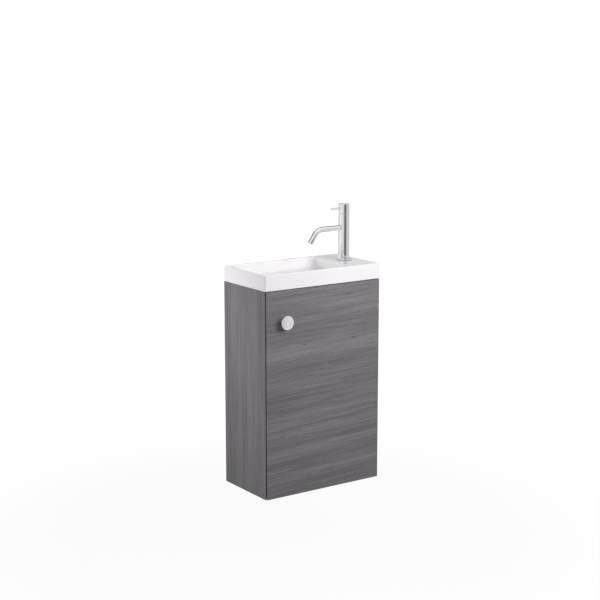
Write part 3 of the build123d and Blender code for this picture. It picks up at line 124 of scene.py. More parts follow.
def length(tree, vector):
    """A vector's length."""
    return add(tree, "ShaderNodeVectorMath", {0: vector}, operation="LENGTH").outputs["Value"]


def paint(tree, shader, value, stops):
    """The shader's colour from a ramp over a value; stops are (place, colour)."""
    node = add(tree, "ShaderNodeValToRGB", {"Fac": value})
    band = node.color_ramp
    while len(band.elements) < len(stops):
        band.elements.new(0.5)
    for element, (place, colour) in zip(band.elements, stops):
        element.position = place
        element.color = (*colour, 1.0)
    tree.links.new(node.outputs["Color"], shader.inputs["Base Color"])


def two_tones(darker, lighter):
    """Ramp stops for a soft change between two colours."""
    return [(0.3, darker), (0.7, lighter)]


def gloss(tree, shader, value, low, high):
    """The shader's roughness from a value, laid out between low and high."""
    laid = add(tree, "ShaderNodeMapRange", {"Value": value, "To Min": low, "To Max": high})
    tree.links.new(laid.outputs["Result"], shader.inputs["Roughness"])


def bump(tree, shader, height, distance, strength=1.0):
    """Relief from a height value, distance in metres."""
    node = add(tree, "ShaderNodeBump", {"Height": height, "Distance": distance, "Strength": strength})
    tree.links.new(node.outputs["Normal"], shader.inputs["Normal"])


def place_of(tree):
    """Object coordinates, which are places in the object's own frame."""
    return add(tree, "ShaderNodeTexCoord").outputs["Object"]


# Finishes
DECOR_DARK = (0.071, 0.067, 0.071)
DECOR_MID = (0.155, 0.147, 0.155)
DECOR_LIGHT = (0.270, 0.257, 0.270)
DECOR_STOPS = [(0.28, DECOR_DARK), (0.475, DECOR_MID), (0.66, DECOR_LIGHT)]
DECOR_LAYERS = {
    "flow": ((1.7, 4.5, 4.5), 2.0, 0.45),
    "bands": ((0.9, 24.0, 24.0), 3.0, 0.62),
    "streaks": ((5.5, 230.0, 230.0), 6.0, 0.74),
    "fibres": ((60.0, 620.0, 620.0), 4.0, 0.7),
    "clumps": ((3.0, 12.0, 12.0), 2.0, 0.5),
}
BAND_SHARE = 0.33
STREAK_SHARE = 0.42
FIBRE_SHARE = 0.26
GROWTH_SHARE = -0.09
DASH_SHARE = -0.12
KNOT_SHARE = -0.19
GRAIN_DRIFT = 0.020
GROWTH_LINES = 62.0
DOOR_KNOTS = [(0.085, 0.005, 0.006), (0.106, -0.125, 0.008), (-0.068, -0.125, 0.005), (-0.142, -0.388, 0.007)]
PANEL_KNOTS = [(-0.325, -0.062, 0.005), (-0.12, -0.150, 0.004)]
DOOR_TILT = 0.035


def layer(tree, vector, name):
    """One layer of the decor's figure, stretched along the grain."""
    factors, detail, roughness = DECOR_LAYERS[name]
    return noise(tree, stretched(tree, vector, factors), 1.0, detail, roughness)


def knot(tree, grain, run, rise, size):
    """How far a knot pulls the grain aside, and how dark its heart is."""
    flat = stretched(tree, away_from(tree, grain, (run, rise, 0.0)), (0.35 / size, 1.0 / size, 0.0))
    reach = length(tree, flat)
    pull = calc(tree, "DIVIDE", size * 0.9, calc(tree, "ADD", 1.0, times(tree, reach, reach)))
    heart = calc(tree, "SUBTRACT", 1.0, calc(tree, "MINIMUM", times(tree, reach, 1.9), 1.0))
    return pull, heart


def wood_decor(name, along, knots, tilt=0.0):
    """Grey printed wood: bands, fibres, growth lines, dark dashes and knots; along is the grain's axis."""
    material, tree, shader = new_material(name, Specular_IOR_Level=0.3)
    parts = add(tree, "ShaderNodeSeparateXYZ", {"Vector": place_of(tree)}).outputs
    run, rise, depth = (parts[axis] for axis in {"X": "XZY", "Z": "ZYX"}[along])
    grain = size3(tree, run, rise, depth)
    drift = times(tree, calc(tree, "SUBTRACT", layer(tree, grain, "flow"), 0.5), GRAIN_DRIFT)
    level = calc(tree, "SUBTRACT", calc(tree, "ADD", rise, drift), times(tree, run, tilt))
    hearts = 0.0
    for knot_run, knot_rise, size in knots:
        pull, heart = knot(tree, grain, knot_run, knot_rise, size)
        level = calc(tree, "ADD", level, pull)
        hearts = calc(tree, "MAXIMUM", hearts, heart)
    figure = size3(tree, run, level, depth)
    bands, streaks, fibres, clumps = (
        layer(tree, figure, kind) for kind in ("bands", "streaks", "fibres", "clumps")
    )
    phase = calc(tree, "MULTIPLY_ADD", level, GROWTH_LINES, times(tree, bands, 2.2))
    clumped = calc(tree, "MAXIMUM", calc(tree, "MULTIPLY_ADD", clumps, 3.0, -1.1), 0.0)
    growth = times(tree, calc(tree, "POWER", calc(tree, "FRACT", phase), 3.0), clumped)
    dashes = calc(tree, "MAXIMUM", calc(tree, "MULTIPLY_ADD", fibres, 6.0, -3.6), 0.0)
    tone = times(tree, bands, BAND_SHARE)
    shares = [
        (streaks, STREAK_SHARE), (fibres, FIBRE_SHARE), (growth, GROWTH_SHARE), (dashes, DASH_SHARE),
        (hearts, KNOT_SHARE),
    ]
    for value, share in shares:
        tone = calc(tree, "MULTIPLY_ADD", value, share, tone)
    paint(tree, shader, tone, DECOR_STOPS)
    gloss(tree, shader, streaks, 0.62, 0.48)
    relief = calc(tree, "MULTIPLY_ADD", fibres, 0.7, times(tree, streaks, 0.3))
    bump(tree, shader, relief, 0.00012, 0.5)
    return material


def raw_board():
    """Chipboard where a cut edge has no band: pale chips in glue."""
    material, tree, shader = new_material("raw_board", Roughness=0.85)
    place = place_of(tree)
    chips = add(tree, "ShaderNodeTexVoronoi", {"Vector": place, "Scale": 620.0}).outputs["Color"]
    chip = add(tree, "ShaderNodeSeparateColor", {"Color": chips}).outputs["Red"]
    fine = noise(tree, place, 1500.0, 3.0, 0.7)
    tone = calc(tree, "MULTIPLY_ADD", chip, 0.65, times(tree, fine, 0.35))
    stops = [(0.1, (0.15, 0.11, 0.07)), (0.55, (0.37, 0.29, 0.19)), (0.95, (0.55, 0.46, 0.33))]
    paint(tree, shader, tone, stops)
    bump(tree, shader, tone, 0.0004, 0.8)
    return material


def mineral_cast():
    """Glossy white cast: a clear gel coat over a very slightly uneven body."""
    material, tree, shader = new_material("mineral_cast", IOR=1.5, Coat_Weight=0.35, Coat_Roughness=0.04)
    place = place_of(tree)
    whites = two_tones((0.825, 0.805, 0.825), (0.850, 0.830, 0.850))
    paint(tree, shader, noise(tree, place, 9.0, 3.0, 0.5), whites)
    gloss(tree, shader, noise(tree, place, 60.0, 4.0, 0.6), 0.10, 0.17)
    bump(tree, shader, noise(tree, place, 26.0, 2.0, 0.4), 0.0001, 0.25)
    return material


def chrome():
    """Bright chrome with faint polishing marks."""
    material, tree, shader = new_material("chrome", Metallic=1.0)
    place = place_of(tree)
    film = noise(tree, place, 70.0, 4.0, 0.6)
    paint(tree, shader, film, two_tones((0.80, 0.805, 0.82), (0.86, 0.865, 0.875)))
    gloss(tree, shader, film, 0.045, 0.095)
    bump(tree, shader, noise(tree, place, 900.0, 2.0, 0.5), 0.00001, 0.2)
    return material


def turned_metal(name, colours, rough, lines, centre, axis, metallic=1.0):
    """A turned metal: fine rings about an axis through centre."""
    material, tree, shader = new_material(name, Metallic=metallic)
    place = place_of(tree)
    away = away_from(tree, place, centre)
    radius = length(tree, stretched(tree, away, tuple(0.0 if part else 1.0 for part in axis)))
    along = add(tree, "ShaderNodeVectorMath", {0: away, 1: axis}, operation="DOT_PRODUCT").outputs["Value"]
    rings = noise(tree, size3(tree, radius, along, 0.0), lines, 3.0, 0.7)
    paint(tree, shader, noise(tree, place, 160.0, 3.0, 0.6), two_tones(*colours))
    gloss(tree, shader, rings, *rough)
    bump(tree, shader, rings, 0.00002, 0.5)
    return material


def mottled(name, colours, rough, scale, relief, **inputs):
    """A finish with soft colour and gloss variation, and a fine relief."""
    material, tree, shader = new_material(name, **inputs)
    place = place_of(tree)
    patch = noise(tree, place, scale, 4.0, 0.6)
    paint(tree, shader, patch, two_tones(*colours))
    gloss(tree, shader, patch, *rough)
    bump(tree, shader, noise(tree, place, scale * 9.0, 3.0, 0.6), relief, 0.5)
    return material


def beech():
    """Raw beech with short flecks along X."""
    material, tree, shader = new_material("beech", Roughness=0.7)
    fleck = noise(tree, stretched(tree, place_of(tree), (150.0, 1500.0, 1500.0)), 1.0, 3.0, 0.6)
    paint(tree, shader, fleck, two_tones((0.42, 0.26, 0.13), (0.66, 0.46, 0.27)))
    bump(tree, shader, fleck, 0.0001, 0.6)
    return material


def middle(node):
    """The centre of a node's box."""
    low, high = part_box(node)
    return (Vector(low) + Vector(high)) / 2


BRASS = ((0.60, 0.42, 0.17), (0.74, 0.54, 0.25))
SATIN = ((0.80, 0.80, 0.81), (0.86, 0.86, 0.87))
MOTTLED = {
    "nickel_steel": (((0.52, 0.51, 0.49), (0.64, 0.63, 0.61)), (0.22, 0.36), 130.0, 0.00002),
    "zinc": (((0.34, 0.35, 0.37), (0.48, 0.49, 0.51)), (0.42, 0.6), 260.0, 0.00008),
    "rubber": (((0.018, 0.018, 0.019), (0.035, 0.035, 0.036)), (0.55, 0.75), 300.0, 0.00006),
    "silicone": (((0.74, 0.74, 0.73), (0.82, 0.82, 0.81)), (0.28, 0.42), 120.0, 0.00005),
    "clear_buffer": (((0.78, 0.79, 0.80), (0.88, 0.89, 0.90)), (0.18, 0.3), 300.0, 0.00003),
    "white_plastic": (((0.76, 0.76, 0.75), (0.83, 0.83, 0.82)), (0.26, 0.36), 90.0, 0.00004),
    "cartridge_plastic": (((0.46, 0.46, 0.44), (0.58, 0.58, 0.56)), (0.42, 0.55), 200.0, 0.00004),
}
INPUTS_OF = {
    "nickel_steel": {"Metallic": 1.0},
    "zinc": {"Metallic": 1.0},
    "clear_buffer": {"Transmission_Weight": 0.7},
}
FINISHES = {name: mottled(name, *settings, **INPUTS_OF.get(name, {})) for name, settings in MOTTLED.items()}
FINISHES["mineral_cast"] = mineral_cast()
FINISHES["beech"] = beech()
FINISHES["chrome"] = chrome()
FINISHES["wood_decor_upright"] = wood_decor("wood_decor_upright", "Z", PANEL_KNOTS)
FINISHES["wood_decor_level"] = wood_decor("wood_decor_level", "X", DOOR_KNOTS, DOOR_TILT)
FINISHES["board_inside"] = wood_decor("board_inside", "X", PANEL_KNOTS)
FINISHES["satin_metal"] = turned_metal(
    "satin_metal", SATIN, (0.48, 0.58), 2600.0, middle("door_knob"), (0, 1, 0), 0.66
)
FINISHES["brass"] = turned_metal("brass", BRASS, (0.20, 0.36), 2400.0, middle("tap_head"), (0, 0, 1))
RAW_BOARD = raw_board()


# Mesh helpers
FIT = 0.05
SPIN_SEGMENTS = 96
ARC_ROOM = 0.48
GUARD_ROOM = 0.3


def new_object(name, mesh):
    """An object of this mesh, linked to the scene."""
    piece = bpy.data.objects.new(name, mesh)
    bpy.context.scene.collection.objects.link(piece)
    return piece


def smooth(mesh, angle=32.0):
    """Smooth shading, broken where faces meet at more than the angle."""
    mesh.shade_smooth()
    mesh.set_sharp_from_angle(angle=math.radians(angle))


def flatten(piece):
    """Turn what a piece's modifiers make into its plain mesh."""
    evaluated = piece.evaluated_get(bpy.context.evaluated_depsgraph_get())
    piece.data = bpy.data.meshes.new_from_object(evaluated)
    piece.modifiers.clear()
    return piece


def even_shading(piece):
    """Let large faces keep their own normals beside narrow rounded ones."""
    smooth(piece.data)
    weighted = piece.modifiers.new("weighted", "WEIGHTED_NORMAL")
    weighted.keep_sharp = True
    return flatten(piece)


def finish_of(node):
    """A node's material."""
    return FINISHES[SLOT_OF[node]]


def stand_for(piece, *nodes):
    """Put a piece in the place of these nodes, with their body and the finish of their slot."""
    if not piece.data.materials:
        piece.data.materials.append(finish_of(nodes[0]))
    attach(piece, BODY_OF[nodes[0]])
    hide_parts(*nodes)


def merged_mesh(node):
    """A node's triangles welded into flat polygons."""
    bm = bmesh.new()
    bm.from_mesh(NODES[node].data)
    bmesh.ops.remove_doubles(bm, verts=bm.verts, dist=1e-6)
    bmesh.ops.dissolve_limit(
        bm, angle_limit=math.radians(0.3), verts=bm.verts, edges=bm.edges, delimit={"NORMAL"}
    )
    return bm


def to_object(bm, name):
    """An object from a bmesh, without the imported normals."""
    mesh = bpy.data.meshes.new(name)
    bm.to_mesh(mesh)
    bm.free()
    for layer_name in ("custom_normal", "sharp_edge", "sharp_face"):
        if layer_name in mesh.attributes:
            mesh.attributes.remove(mesh.attributes[layer_name])
    return new_object(name, mesh)


def bridge(bm, rings):
    """Faces between rings of vertices, from each ring to the next one."""
    for lower, upper in zip(rings, rings[1:]):
        for index, corner in enumerate(lower):
            after = (index + 1) % len(lower)
            corners = list(dict.fromkeys((corner, lower[after], upper[after], upper[index])))
            if len(corners) > 2:
                bm.faces.new(corners)


def closed_object(bm, name):
    """An object from a closed bmesh, with all faces outward."""
    bmesh.ops.recalc_face_normals(bm, faces=bm.faces)
    return to_object(bm, name)


def rounded_copy(node, width, segments=2, angle=35.0):
    """A welded copy of a node whose sharp edges are rounded by width."""
    piece = to_object(merged_mesh(node), node + "_piece")
    bevel = piece.modifiers.new("edge", "BEVEL")
    bevel.width = width
    bevel.segments = segments
    bevel.limit_method = "ANGLE"
    bevel.angle_limit = math.radians(angle)
    return even_shading(flatten(piece))


def islands(node):
    """The lowest and highest corners of each separate solid in a node."""
    bm = merged_mesh(node)
    left = set(bm.verts)
    boxes = []
    while left:
        stack = [left.pop()]
        group = []
        while stack:
            vert = stack.pop()
            group.append(vert.co.copy())
            near = {edge.other_vert(vert) for edge in vert.link_edges} & left
            left -= near
            stack += near
        low = Vector([min(spot[i] for spot in group) for i in range(3)])
        high = Vector([max(spot[i] for spot in group) for i in range(3)])
        boxes.append((low, high))
    bm.free()
    return sorted(boxes, key=lambda pair: tuple(round(v, 4) for v in pair[0]))


def arc(start, corner, end, rounding, steps, room_before, room_after):
    """Points that round a corner; the rooms are the most that the arc takes of the leg on each side."""
    before, after = start - corner, end - corner
    turn = math.pi - before.angle(after)
    reach = min(rounding * math.tan(turn / 2), room_before * before.length, room_after * after.length)
    radius = reach / math.tan(turn / 2)
    inward = (before.normalized() + after.normalized()).normalized()
    centre = corner + inward * (radius / math.cos(turn / 2))
    first = corner + before.normalized() * reach - centre
    last = corner + after.normalized() * reach - centre
    return [centre + first.slerp(last, step / steps).normalized() * radius for step in range(steps + 1)]


def rounded(outline, steps=5, guard=0.12):
    """An outline of (radius, height, rounding) corners as points, with guard points beside each arc."""
    points = []
    corners = [Vector(corner[:2]) for corner in outline]
    for index, corner in enumerate(corners):
        rounding = outline[index][2]
        if not rounding:
            points.append(corner)
            continue
        before, after = corners[index - 1], corners[(index + 1) % len(corners)]
        bend = arc(before, corner, after, rounding, steps, ARC_ROOM, ARC_ROOM)
        points.append(guarded(bend[0], before, guard))
        points += bend
        points.append(guarded(bend[-1], after, guard))
    return points


def guarded(end, neighbour, guard):
    """A guard point beside an arc's end, on the straight line to the next corner."""
    leg = neighbour - end
    return end + leg.normalized() * min(guard, GUARD_ROOM * leg.length)


def straight(centre, way):
    """A straight axis: where it is at a height in millimetres, and its two side directions."""
    way = Vector(way).normalized()
    side = way.orthogonal().normalized()
    if abs(way.z) > 0.9:
        side = Vector((1, 0, 0))
    other = way.cross(side)
    return lambda height: (Vector(centre) + way * (height * MM), side, other)


def spin(name, outline, axis_at, segments=SPIN_SEGMENTS, shape=None):
    """A closed outline of (radius, height) points turned about an axis; shape may change the radius."""
    bm = bmesh.new()
    rings = []
    for radius, height in outline:
        centre, side, other = axis_at(height)
        if radius < 1e-6:
            rings.append([bm.verts.new(centre)] * segments)
            continue
        ring = []
        for step in range(segments):
            angle = 2 * math.pi * step / segments
            reach = (shape(radius, height, angle) if shape else radius) * MM
            spot = side * (reach * math.cos(angle)) + other * (reach * math.sin(angle))
            ring.append(bm.verts.new(centre + spot))
        rings.append(ring)
    bridge(bm, rings + rings[:1])
    piece = closed_object(bm, name)
    smooth(piece.data)
    return piece


def turned(node, name, outline, axis_at, steps=5, guard=0.12, segments=SPIN_SEGMENTS):
    """A turned piece with a rounded outline in the place of a node."""
    stand_for(spin(name, rounded(outline, steps, guard), axis_at, segments), node)


def carve(piece, *cutters):
    """Cut solids out of a piece; the cutters are used up."""
    for cutter in cutters:
        cut = piece.modifiers.new("cut", "BOOLEAN")
        cut.object = cutter
        cut.operation = "DIFFERENCE"
        cut.solver = "EXACT"
    flatten(piece)
    for cutter in cutters:
        bpy.data.objects.remove(cutter)
    smooth(piece.data)


def plug(centre, way, radius, low, high, segments=64):
    """A plain round cutter between two heights, in millimetres."""
    outline = [(0, low), (radius, low), (radius, high), (0, high)]
    return spin("cutter", outline, straight(centre, way), segments)


# Geometry trees
def new_tree(name, floats, **inputs):
    """A geometry tree with a mesh in and out, a finish, and a named input for each of its sizes."""
    tree = bpy.data.node_groups.new(name, "GeometryNodeTree")
    kinds = {"Geometry": "Geometry", **dict.fromkeys(floats, "Float"), **inputs, "Finish": "Material"}
    for label, kind in kinds.items():
        tree.interface.new_socket(label.replace("_", " "), in_out="INPUT", socket_type="NodeSocket" + kind)
    tree.interface.new_socket("Geometry", in_out="OUTPUT", socket_type="NodeSocketGeometry")
    return tree, tree.nodes.new("NodeGroupInput").outputs


def close_tree(tree, geometry, given):
    """End a tree: real geometry in the given finish."""
    whole = result(tree, "GeometryNodeRealizeInstances", {"Geometry": geometry})
    done = result(tree, "GeometryNodeSetMaterial", {"Geometry": whole, "Material": given["Finish"]})
    add(tree, "NodeGroupOutput", {"Geometry": done})
    return tree


def joined(tree, *parts):
    """Several geometries as one."""
    node = tree.nodes.new("GeometryNodeJoinGeometry")
    for part in reversed(parts):
        tree.links.new(part, node.inputs[0])
    return node.outputs[0]


def grow(piece, tree, finish, **values):
    """Run a tree on a piece's mesh and keep the result, in this finish, as its plain mesh."""
    modifier = piece.modifiers.new("grow", "NODES")
    modifier.node_group = tree
    sockets = {item.name: item.identifier for item in tree.interface.items_tree if item.in_out == "INPUT"}
    modifier[sockets["Finish"]] = finish
    for label, value in values.items():
        modifier[sockets[label.replace("_", " ")]] = value
    flatten(piece)
    smooth(piece.data)
    return piece


def points_object(name, spots, ways):
    """A mesh of loose points, each with the direction that its copy faces."""
    mesh = bpy.data.meshes.new(name)
    mesh.from_pydata([tuple(spot) for spot in spots], [], [])
    way_layer = mesh.attributes.new("way", "FLOAT_VECTOR", "POINT")
    for row, way in zip(way_layer.data, ways):
        row.vector = way
    return new_object(name, mesh)


def on_points(tree, points, instance):
    """Copies of a shape on points, turned so that its Z axis runs along each point's way."""
    way = result(tree, "GeometryNodeInputNamedAttribute", {"Name": "way"}, data_type="FLOAT_VECTOR")
    turn = result(tree, "FunctionNodeAlignRotationToVector", {"Vector": way}, axis="Z")
    settings = {"Points": points, "Instance": instance, "Rotation": turn}
    return result(tree, "GeometryNodeInstanceOnPoints", settings)


def raised(tree, geometry, height):
    """A geometry shifted up by a height."""
    shift = size3(tree, 0.0, 0.0, height)
    return result(tree, "GeometryNodeTransform", {"Geometry": geometry, "Translation": shift})


def screw_tree():
    """A domed head with a cross recess, on a plain shank."""
    sizes = ("Head_Radius", "Head_Height", "Shank_Radius", "Shank_Length", "Recess")
    tree, given = new_tree("screws", sizes)
    head_radius, head_height, recess = given["Head Radius"], given["Head Height"], given["Recess"]
    cone = {"Vertices": 40, "Side Segments": 7, "Radius Top": 0.0}
    cone.update({"Radius Bottom": head_radius, "Depth": head_height})
    head = result(tree, "GeometryNodeMeshCone", cone)
    parts = add(tree, "ShaderNodeSeparateXYZ", {"Vector": result(tree, "GeometryNodeInputPosition")}).outputs
    drop = calc(tree, "SUBTRACT", 1.0, calc(tree, "DIVIDE", parts["Z"], head_height))
    dome = calc(tree, "SQRT", calc(tree, "SUBTRACT", 1.0001, calc(tree, "POWER", drop, 2.6)))
    domed = size3(tree, parts["X"], parts["Y"], times(tree, dome, head_height))
    cut = result(tree, "GeometryNodeSetPosition", {"Geometry": head, "Position": domed})
    long_side = times(tree, head_radius, 1.25)
    for sides in ((long_side, recess), (recess, long_side)):
        block = result(tree, "GeometryNodeMeshCube", {"Size": size3(tree, *sides, head_height)})
        blade = raised(tree, block, times(tree, head_height, 0.98))
        solids = {"Mesh 1": cut, "Mesh 2": blade}
        cut = result(tree, "GeometryNodeMeshBoolean", solids, operation="DIFFERENCE")
    rod = {"Vertices": 24, "Radius": given["Shank Radius"], "Depth": given["Shank Length"]}
    shank = result(tree, "GeometryNodeMeshCylinder", rod)
    shank = raised(tree, shank, times(tree, given["Shank Length"], -0.5))
    return close_tree(tree, on_points(tree, given["Geometry"], joined(tree, cut, shank)), given)


def rib_tree():
    """Moulded grip ribs round a turned piece, added to it."""
    sizes = ("Ring_Radius", "Rib_Radius", "Rib_Length")
    tree, given = new_tree("ribs", sizes, Count="Int", Place="Vector", Turn="Vector")
    ring = {"Vertices": given["Count"], "Radius": given["Ring Radius"]}
    circle = result(tree, "GeometryNodeMeshCircle", ring)
    bar = {"Vertices": 10, "Side Segments": 6, "Radius": given["Rib Radius"], "Depth": given["Rib Length"]}
    rib = result(tree, "GeometryNodeMeshCylinder", bar)
    copies = result(tree, "GeometryNodeInstanceOnPoints", {"Points": circle, "Instance": rib})
    settings = {"Geometry": copies, "Translation": given["Place"], "Rotation": given["Turn"]}
    ribs = result(tree, "GeometryNodeTransform", settings)
    return close_tree(tree, joined(tree, given["Geometry"], ribs), given)


def thread_tree():
    """A helical ridge round a turned core, added to it."""
    sizes = ("Ridge_Radius", "Ridge_Height", "Pitch", "Length")
    tree, given = new_tree("thread", sizes, Place="Vector")
    turns = calc(tree, "DIVIDE", given["Length"], given["Pitch"])
    coil = {"Resolution": 48, "Rotations": turns, "Height": given["Length"]}
    coil.update({"Start Radius": given["Ridge Radius"], "End Radius": given["Ridge Radius"]})
    line = result(tree, "GeometryNodeCurveSpiral", coil)
    ring = {"Resolution": 6, "Radius": given["Ridge Height"]}
    section = result(tree, "GeometryNodeCurvePrimitiveCircle", ring)
    swept = {"Curve": line, "Profile Curve": section, "Fill Caps": True}
    settings = {"Geometry": result(tree, "GeometryNodeCurveToMesh", swept), "Translation": given["Place"]}
    ridge = result(tree, "GeometryNodeTransform", settings)
    return close_tree(tree, joined(tree, given["Geometry"], ridge), given)


def dowel_tree():
    """Fluted dowels with tapered ends."""
    tree, given = new_tree("dowels", ("Radius", "Length"))
    half = times(tree, given["Length"], 0.5)
    ends = {"Start": size3(tree, 0.0, 0.0, times(tree, half, -1.0)), "End": size3(tree, 0.0, 0.0, half)}
    line = result(tree, "GeometryNodeCurvePrimitiveLine", ends)
    line = result(tree, "GeometryNodeResampleCurve", {"Curve": line, "Count": 30})
    along = add(tree, "GeometryNodeSplineParameter").outputs["Factor"]
    from_end = calc(tree, "MINIMUM", along, calc(tree, "SUBTRACT", 1.0, along))
    taper = calc(tree, "MINIMUM", 1.0, calc(tree, "MULTIPLY_ADD", from_end, 6.0, 0.8))
    line = result(tree, "GeometryNodeSetCurveRadius", {"Curve": line, "Radius": taper})
    star = {"Points": 18, "Inner Radius": times(tree, given["Radius"], 0.93), "Outer Radius": given["Radius"]}
    section = result(tree, "GeometryNodeCurveStar", {**star, "Twist": 0.0})
    settings = {"Curve": line, "Profile Curve": section, "Scale": taper, "Fill Caps": True}
    peg = result(tree, "GeometryNodeCurveToMesh", settings)
    return close_tree(tree, on_points(tree, given["Geometry"], peg), given)


def pin_tree():
    """Turned pins with a groove at the middle and a stepped end, for the shelf."""
    tree, given = new_tree("pins", ("Radius", "Length"))
    parts = []
    for share, start, reach in ((1.0, 0.0, 0.46), (0.86, 0.46, 0.06), (1.0, 0.52, 0.42), (0.86, 0.94, 0.06)):
        bar = {"Vertices": 40, "Radius": times(tree, given["Radius"], share)}
        bar["Depth"] = times(tree, given["Length"], reach)
        solid = result(tree, "GeometryNodeMeshCylinder", bar)
        parts.append(raised(tree, solid, times(tree, given["Length"], start + reach / 2 - 0.5)))
    return close_tree(tree, on_points(tree, given["Geometry"], joined(tree, *parts)), given)


def cell_tree():
    """Small six-sided tubes on points."""
    tree, given = new_tree("cells", ("Cell_Radius", "Depth", "Wall"))
    ring = {"Resolution": 6, "Radius": given["Cell Radius"]}
    band = {"Width": given["Wall"], "Height": given["Depth"]}
    swept = {
        "Curve": result(tree, "GeometryNodeCurvePrimitiveCircle", ring),
        "Profile Curve": result(tree, "GeometryNodeCurvePrimitiveQuadrilateral", band),
    }
    tube = result(tree, "GeometryNodeCurveToMesh", swept)
    return close_tree(tree, on_points(tree, given["Geometry"], tube), given)


SCREWS = screw_tree()
RIBS = rib_tree()
THREAD = thread_tree()
DOWEL = dowel_tree()
PIN = pin_tree()
CELLS = cell_tree()


# Boards: decor on the faces and the banded edges, raw chipboard on the others and in the drilled holes
BOARD_EDGE = 0.45 * MM
HOLE_SPAN = 0.03
HOLE_INSET = 1.2 * MM
LEFT = (-1, 0, 0)
RIGHT = (1, 0, 0)
FRONT = (0, -1, 0)
REAR = (0, 1, 0)
DOWN = (0, 0, -1)
UP = (0, 0, 1)
RAW_SIDES = {
    "side_panel_left": (REAR, UP),
    "side_panel_right": (REAR, UP),
    "bottom_panel": (REAR, LEFT, RIGHT),
    "front_rail": (REAR, LEFT, RIGHT),
    "rear_rail_top": (LEFT, RIGHT, UP),
    "rear_rail_bottom": (LEFT, RIGHT, DOWN),
    "shelf": (LEFT, RIGHT),
    "door_panel": (),
}


def board(node, raw_sides):
    """A board with softened edges; raw_sides are the outward directions of its faces without decor."""
    piece = rounded_copy(node, BOARD_EDGE)
    low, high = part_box(node)
    mesh = piece.data
    mesh.materials.clear()
    mesh.materials.append(finish_of(node))
    mesh.materials.append(RAW_BOARD)
    for face in mesh.polygons:
        for side in raw_sides:
            way = Vector(side)
            edge = max(way.dot(low), way.dot(high))
            if face.normal.dot(way) > 0.9 and abs(way.dot(face.center) - edge) < BOARD_EDGE:
                face.material_index = 1
        inside = all(low[i] + HOLE_INSET < face.center[i] < high[i] - HOLE_INSET for i in range(3))
        first = mesh.vertices[face.vertices[0]].co
        span = max((mesh.vertices[index].co - first).length for index in face.vertices)
        if inside and span < HOLE_SPAN:
            face.material_index = 1
    stand_for(piece, node)


for board_node, board_sides in RAW_SIDES.items():
    board(board_node, board_sides)


# Sizes of a node, in millimetres
def heights(node, axis=2):
    """A node's lowest and highest place along an axis, in millimetres."""
    low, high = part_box(node)
    return low[axis] / MM, high[axis] / MM


def radius_of(node, axis=0):
    """Half of a node's width along an axis, in millimetres."""
    low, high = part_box(node)
    return (high[axis] - low[axis]) / 2 / MM


def bore_of(node, axis=0):
    """The radius of a bore that clears a round node, in millimetres."""
    return radius_of(node, axis) + FIT


# Basin: one closed surface, ring by ring, then its holes and the pocket under the deck
BASIN_LOW, BASIN_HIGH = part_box("basin")
BOWL_RIM = 9.0
DECK_LENGTH = 97.0
BOWL_DEPTH = 32.0
BOWL_CORNERS = (26.0, 30.0)
BOWL_SLOPES = {"left": 52.0, "right": 12.0, "side": 9.0}
LIP_ROUND = 1.8
FOOT_ROUND = 13.0
OUTER_ROUND = 1.6
FOOT_EDGE = 0.4
RING_GUARD = 0.3
SHARPEST = 0.15
EDGE_STEPS = 5
CORNER_STEPS = 12
SIDE_STEPS = 10
DECK_THICKNESS = 15.0
POCKET_WALL = 12.0
POCKET_INSET = 28.0
POCKET_CORNER = 8.0
TAP_HOLE = 11.5
WASTE_HOLE = 22.5


def field_ring(left, right, front, back, radius, z):
    """A rounded rectangle's points in millimetres, as many for every size."""
    ring = []
    corners = [
        (right - radius, back - radius, 0), (left + radius, back - radius, 90),
        (left + radius, front + radius, 180), (right - radius, front + radius, 270),
    ]
    bends = []
    for x, y, start in corners:
        turns = [math.radians(start + 90 * step / CORNER_STEPS) for step in range(CORNER_STEPS + 1)]
        points = [Vector((x + radius * math.cos(turn), y + radius * math.sin(turn), z)) for turn in turns]
        bends.append(points)
    for points, following in zip(bends, bends[1:] + bends[:1]):
        ring += points
        ring += [points[-1].lerp(following[0], step / SIDE_STEPS) for step in range(1, SIDE_STEPS)]
    return ring


def skin(bm, rings, scale=1.0):
    """A closed skin over stacked rings of points."""
    rows = [[bm.verts.new(Vector(spot) * scale) for spot in ring] for ring in rings]
    bridge(bm, rows)
    bm.faces.new(reversed(rows[0]))
    bm.faces.new(rows[-1])


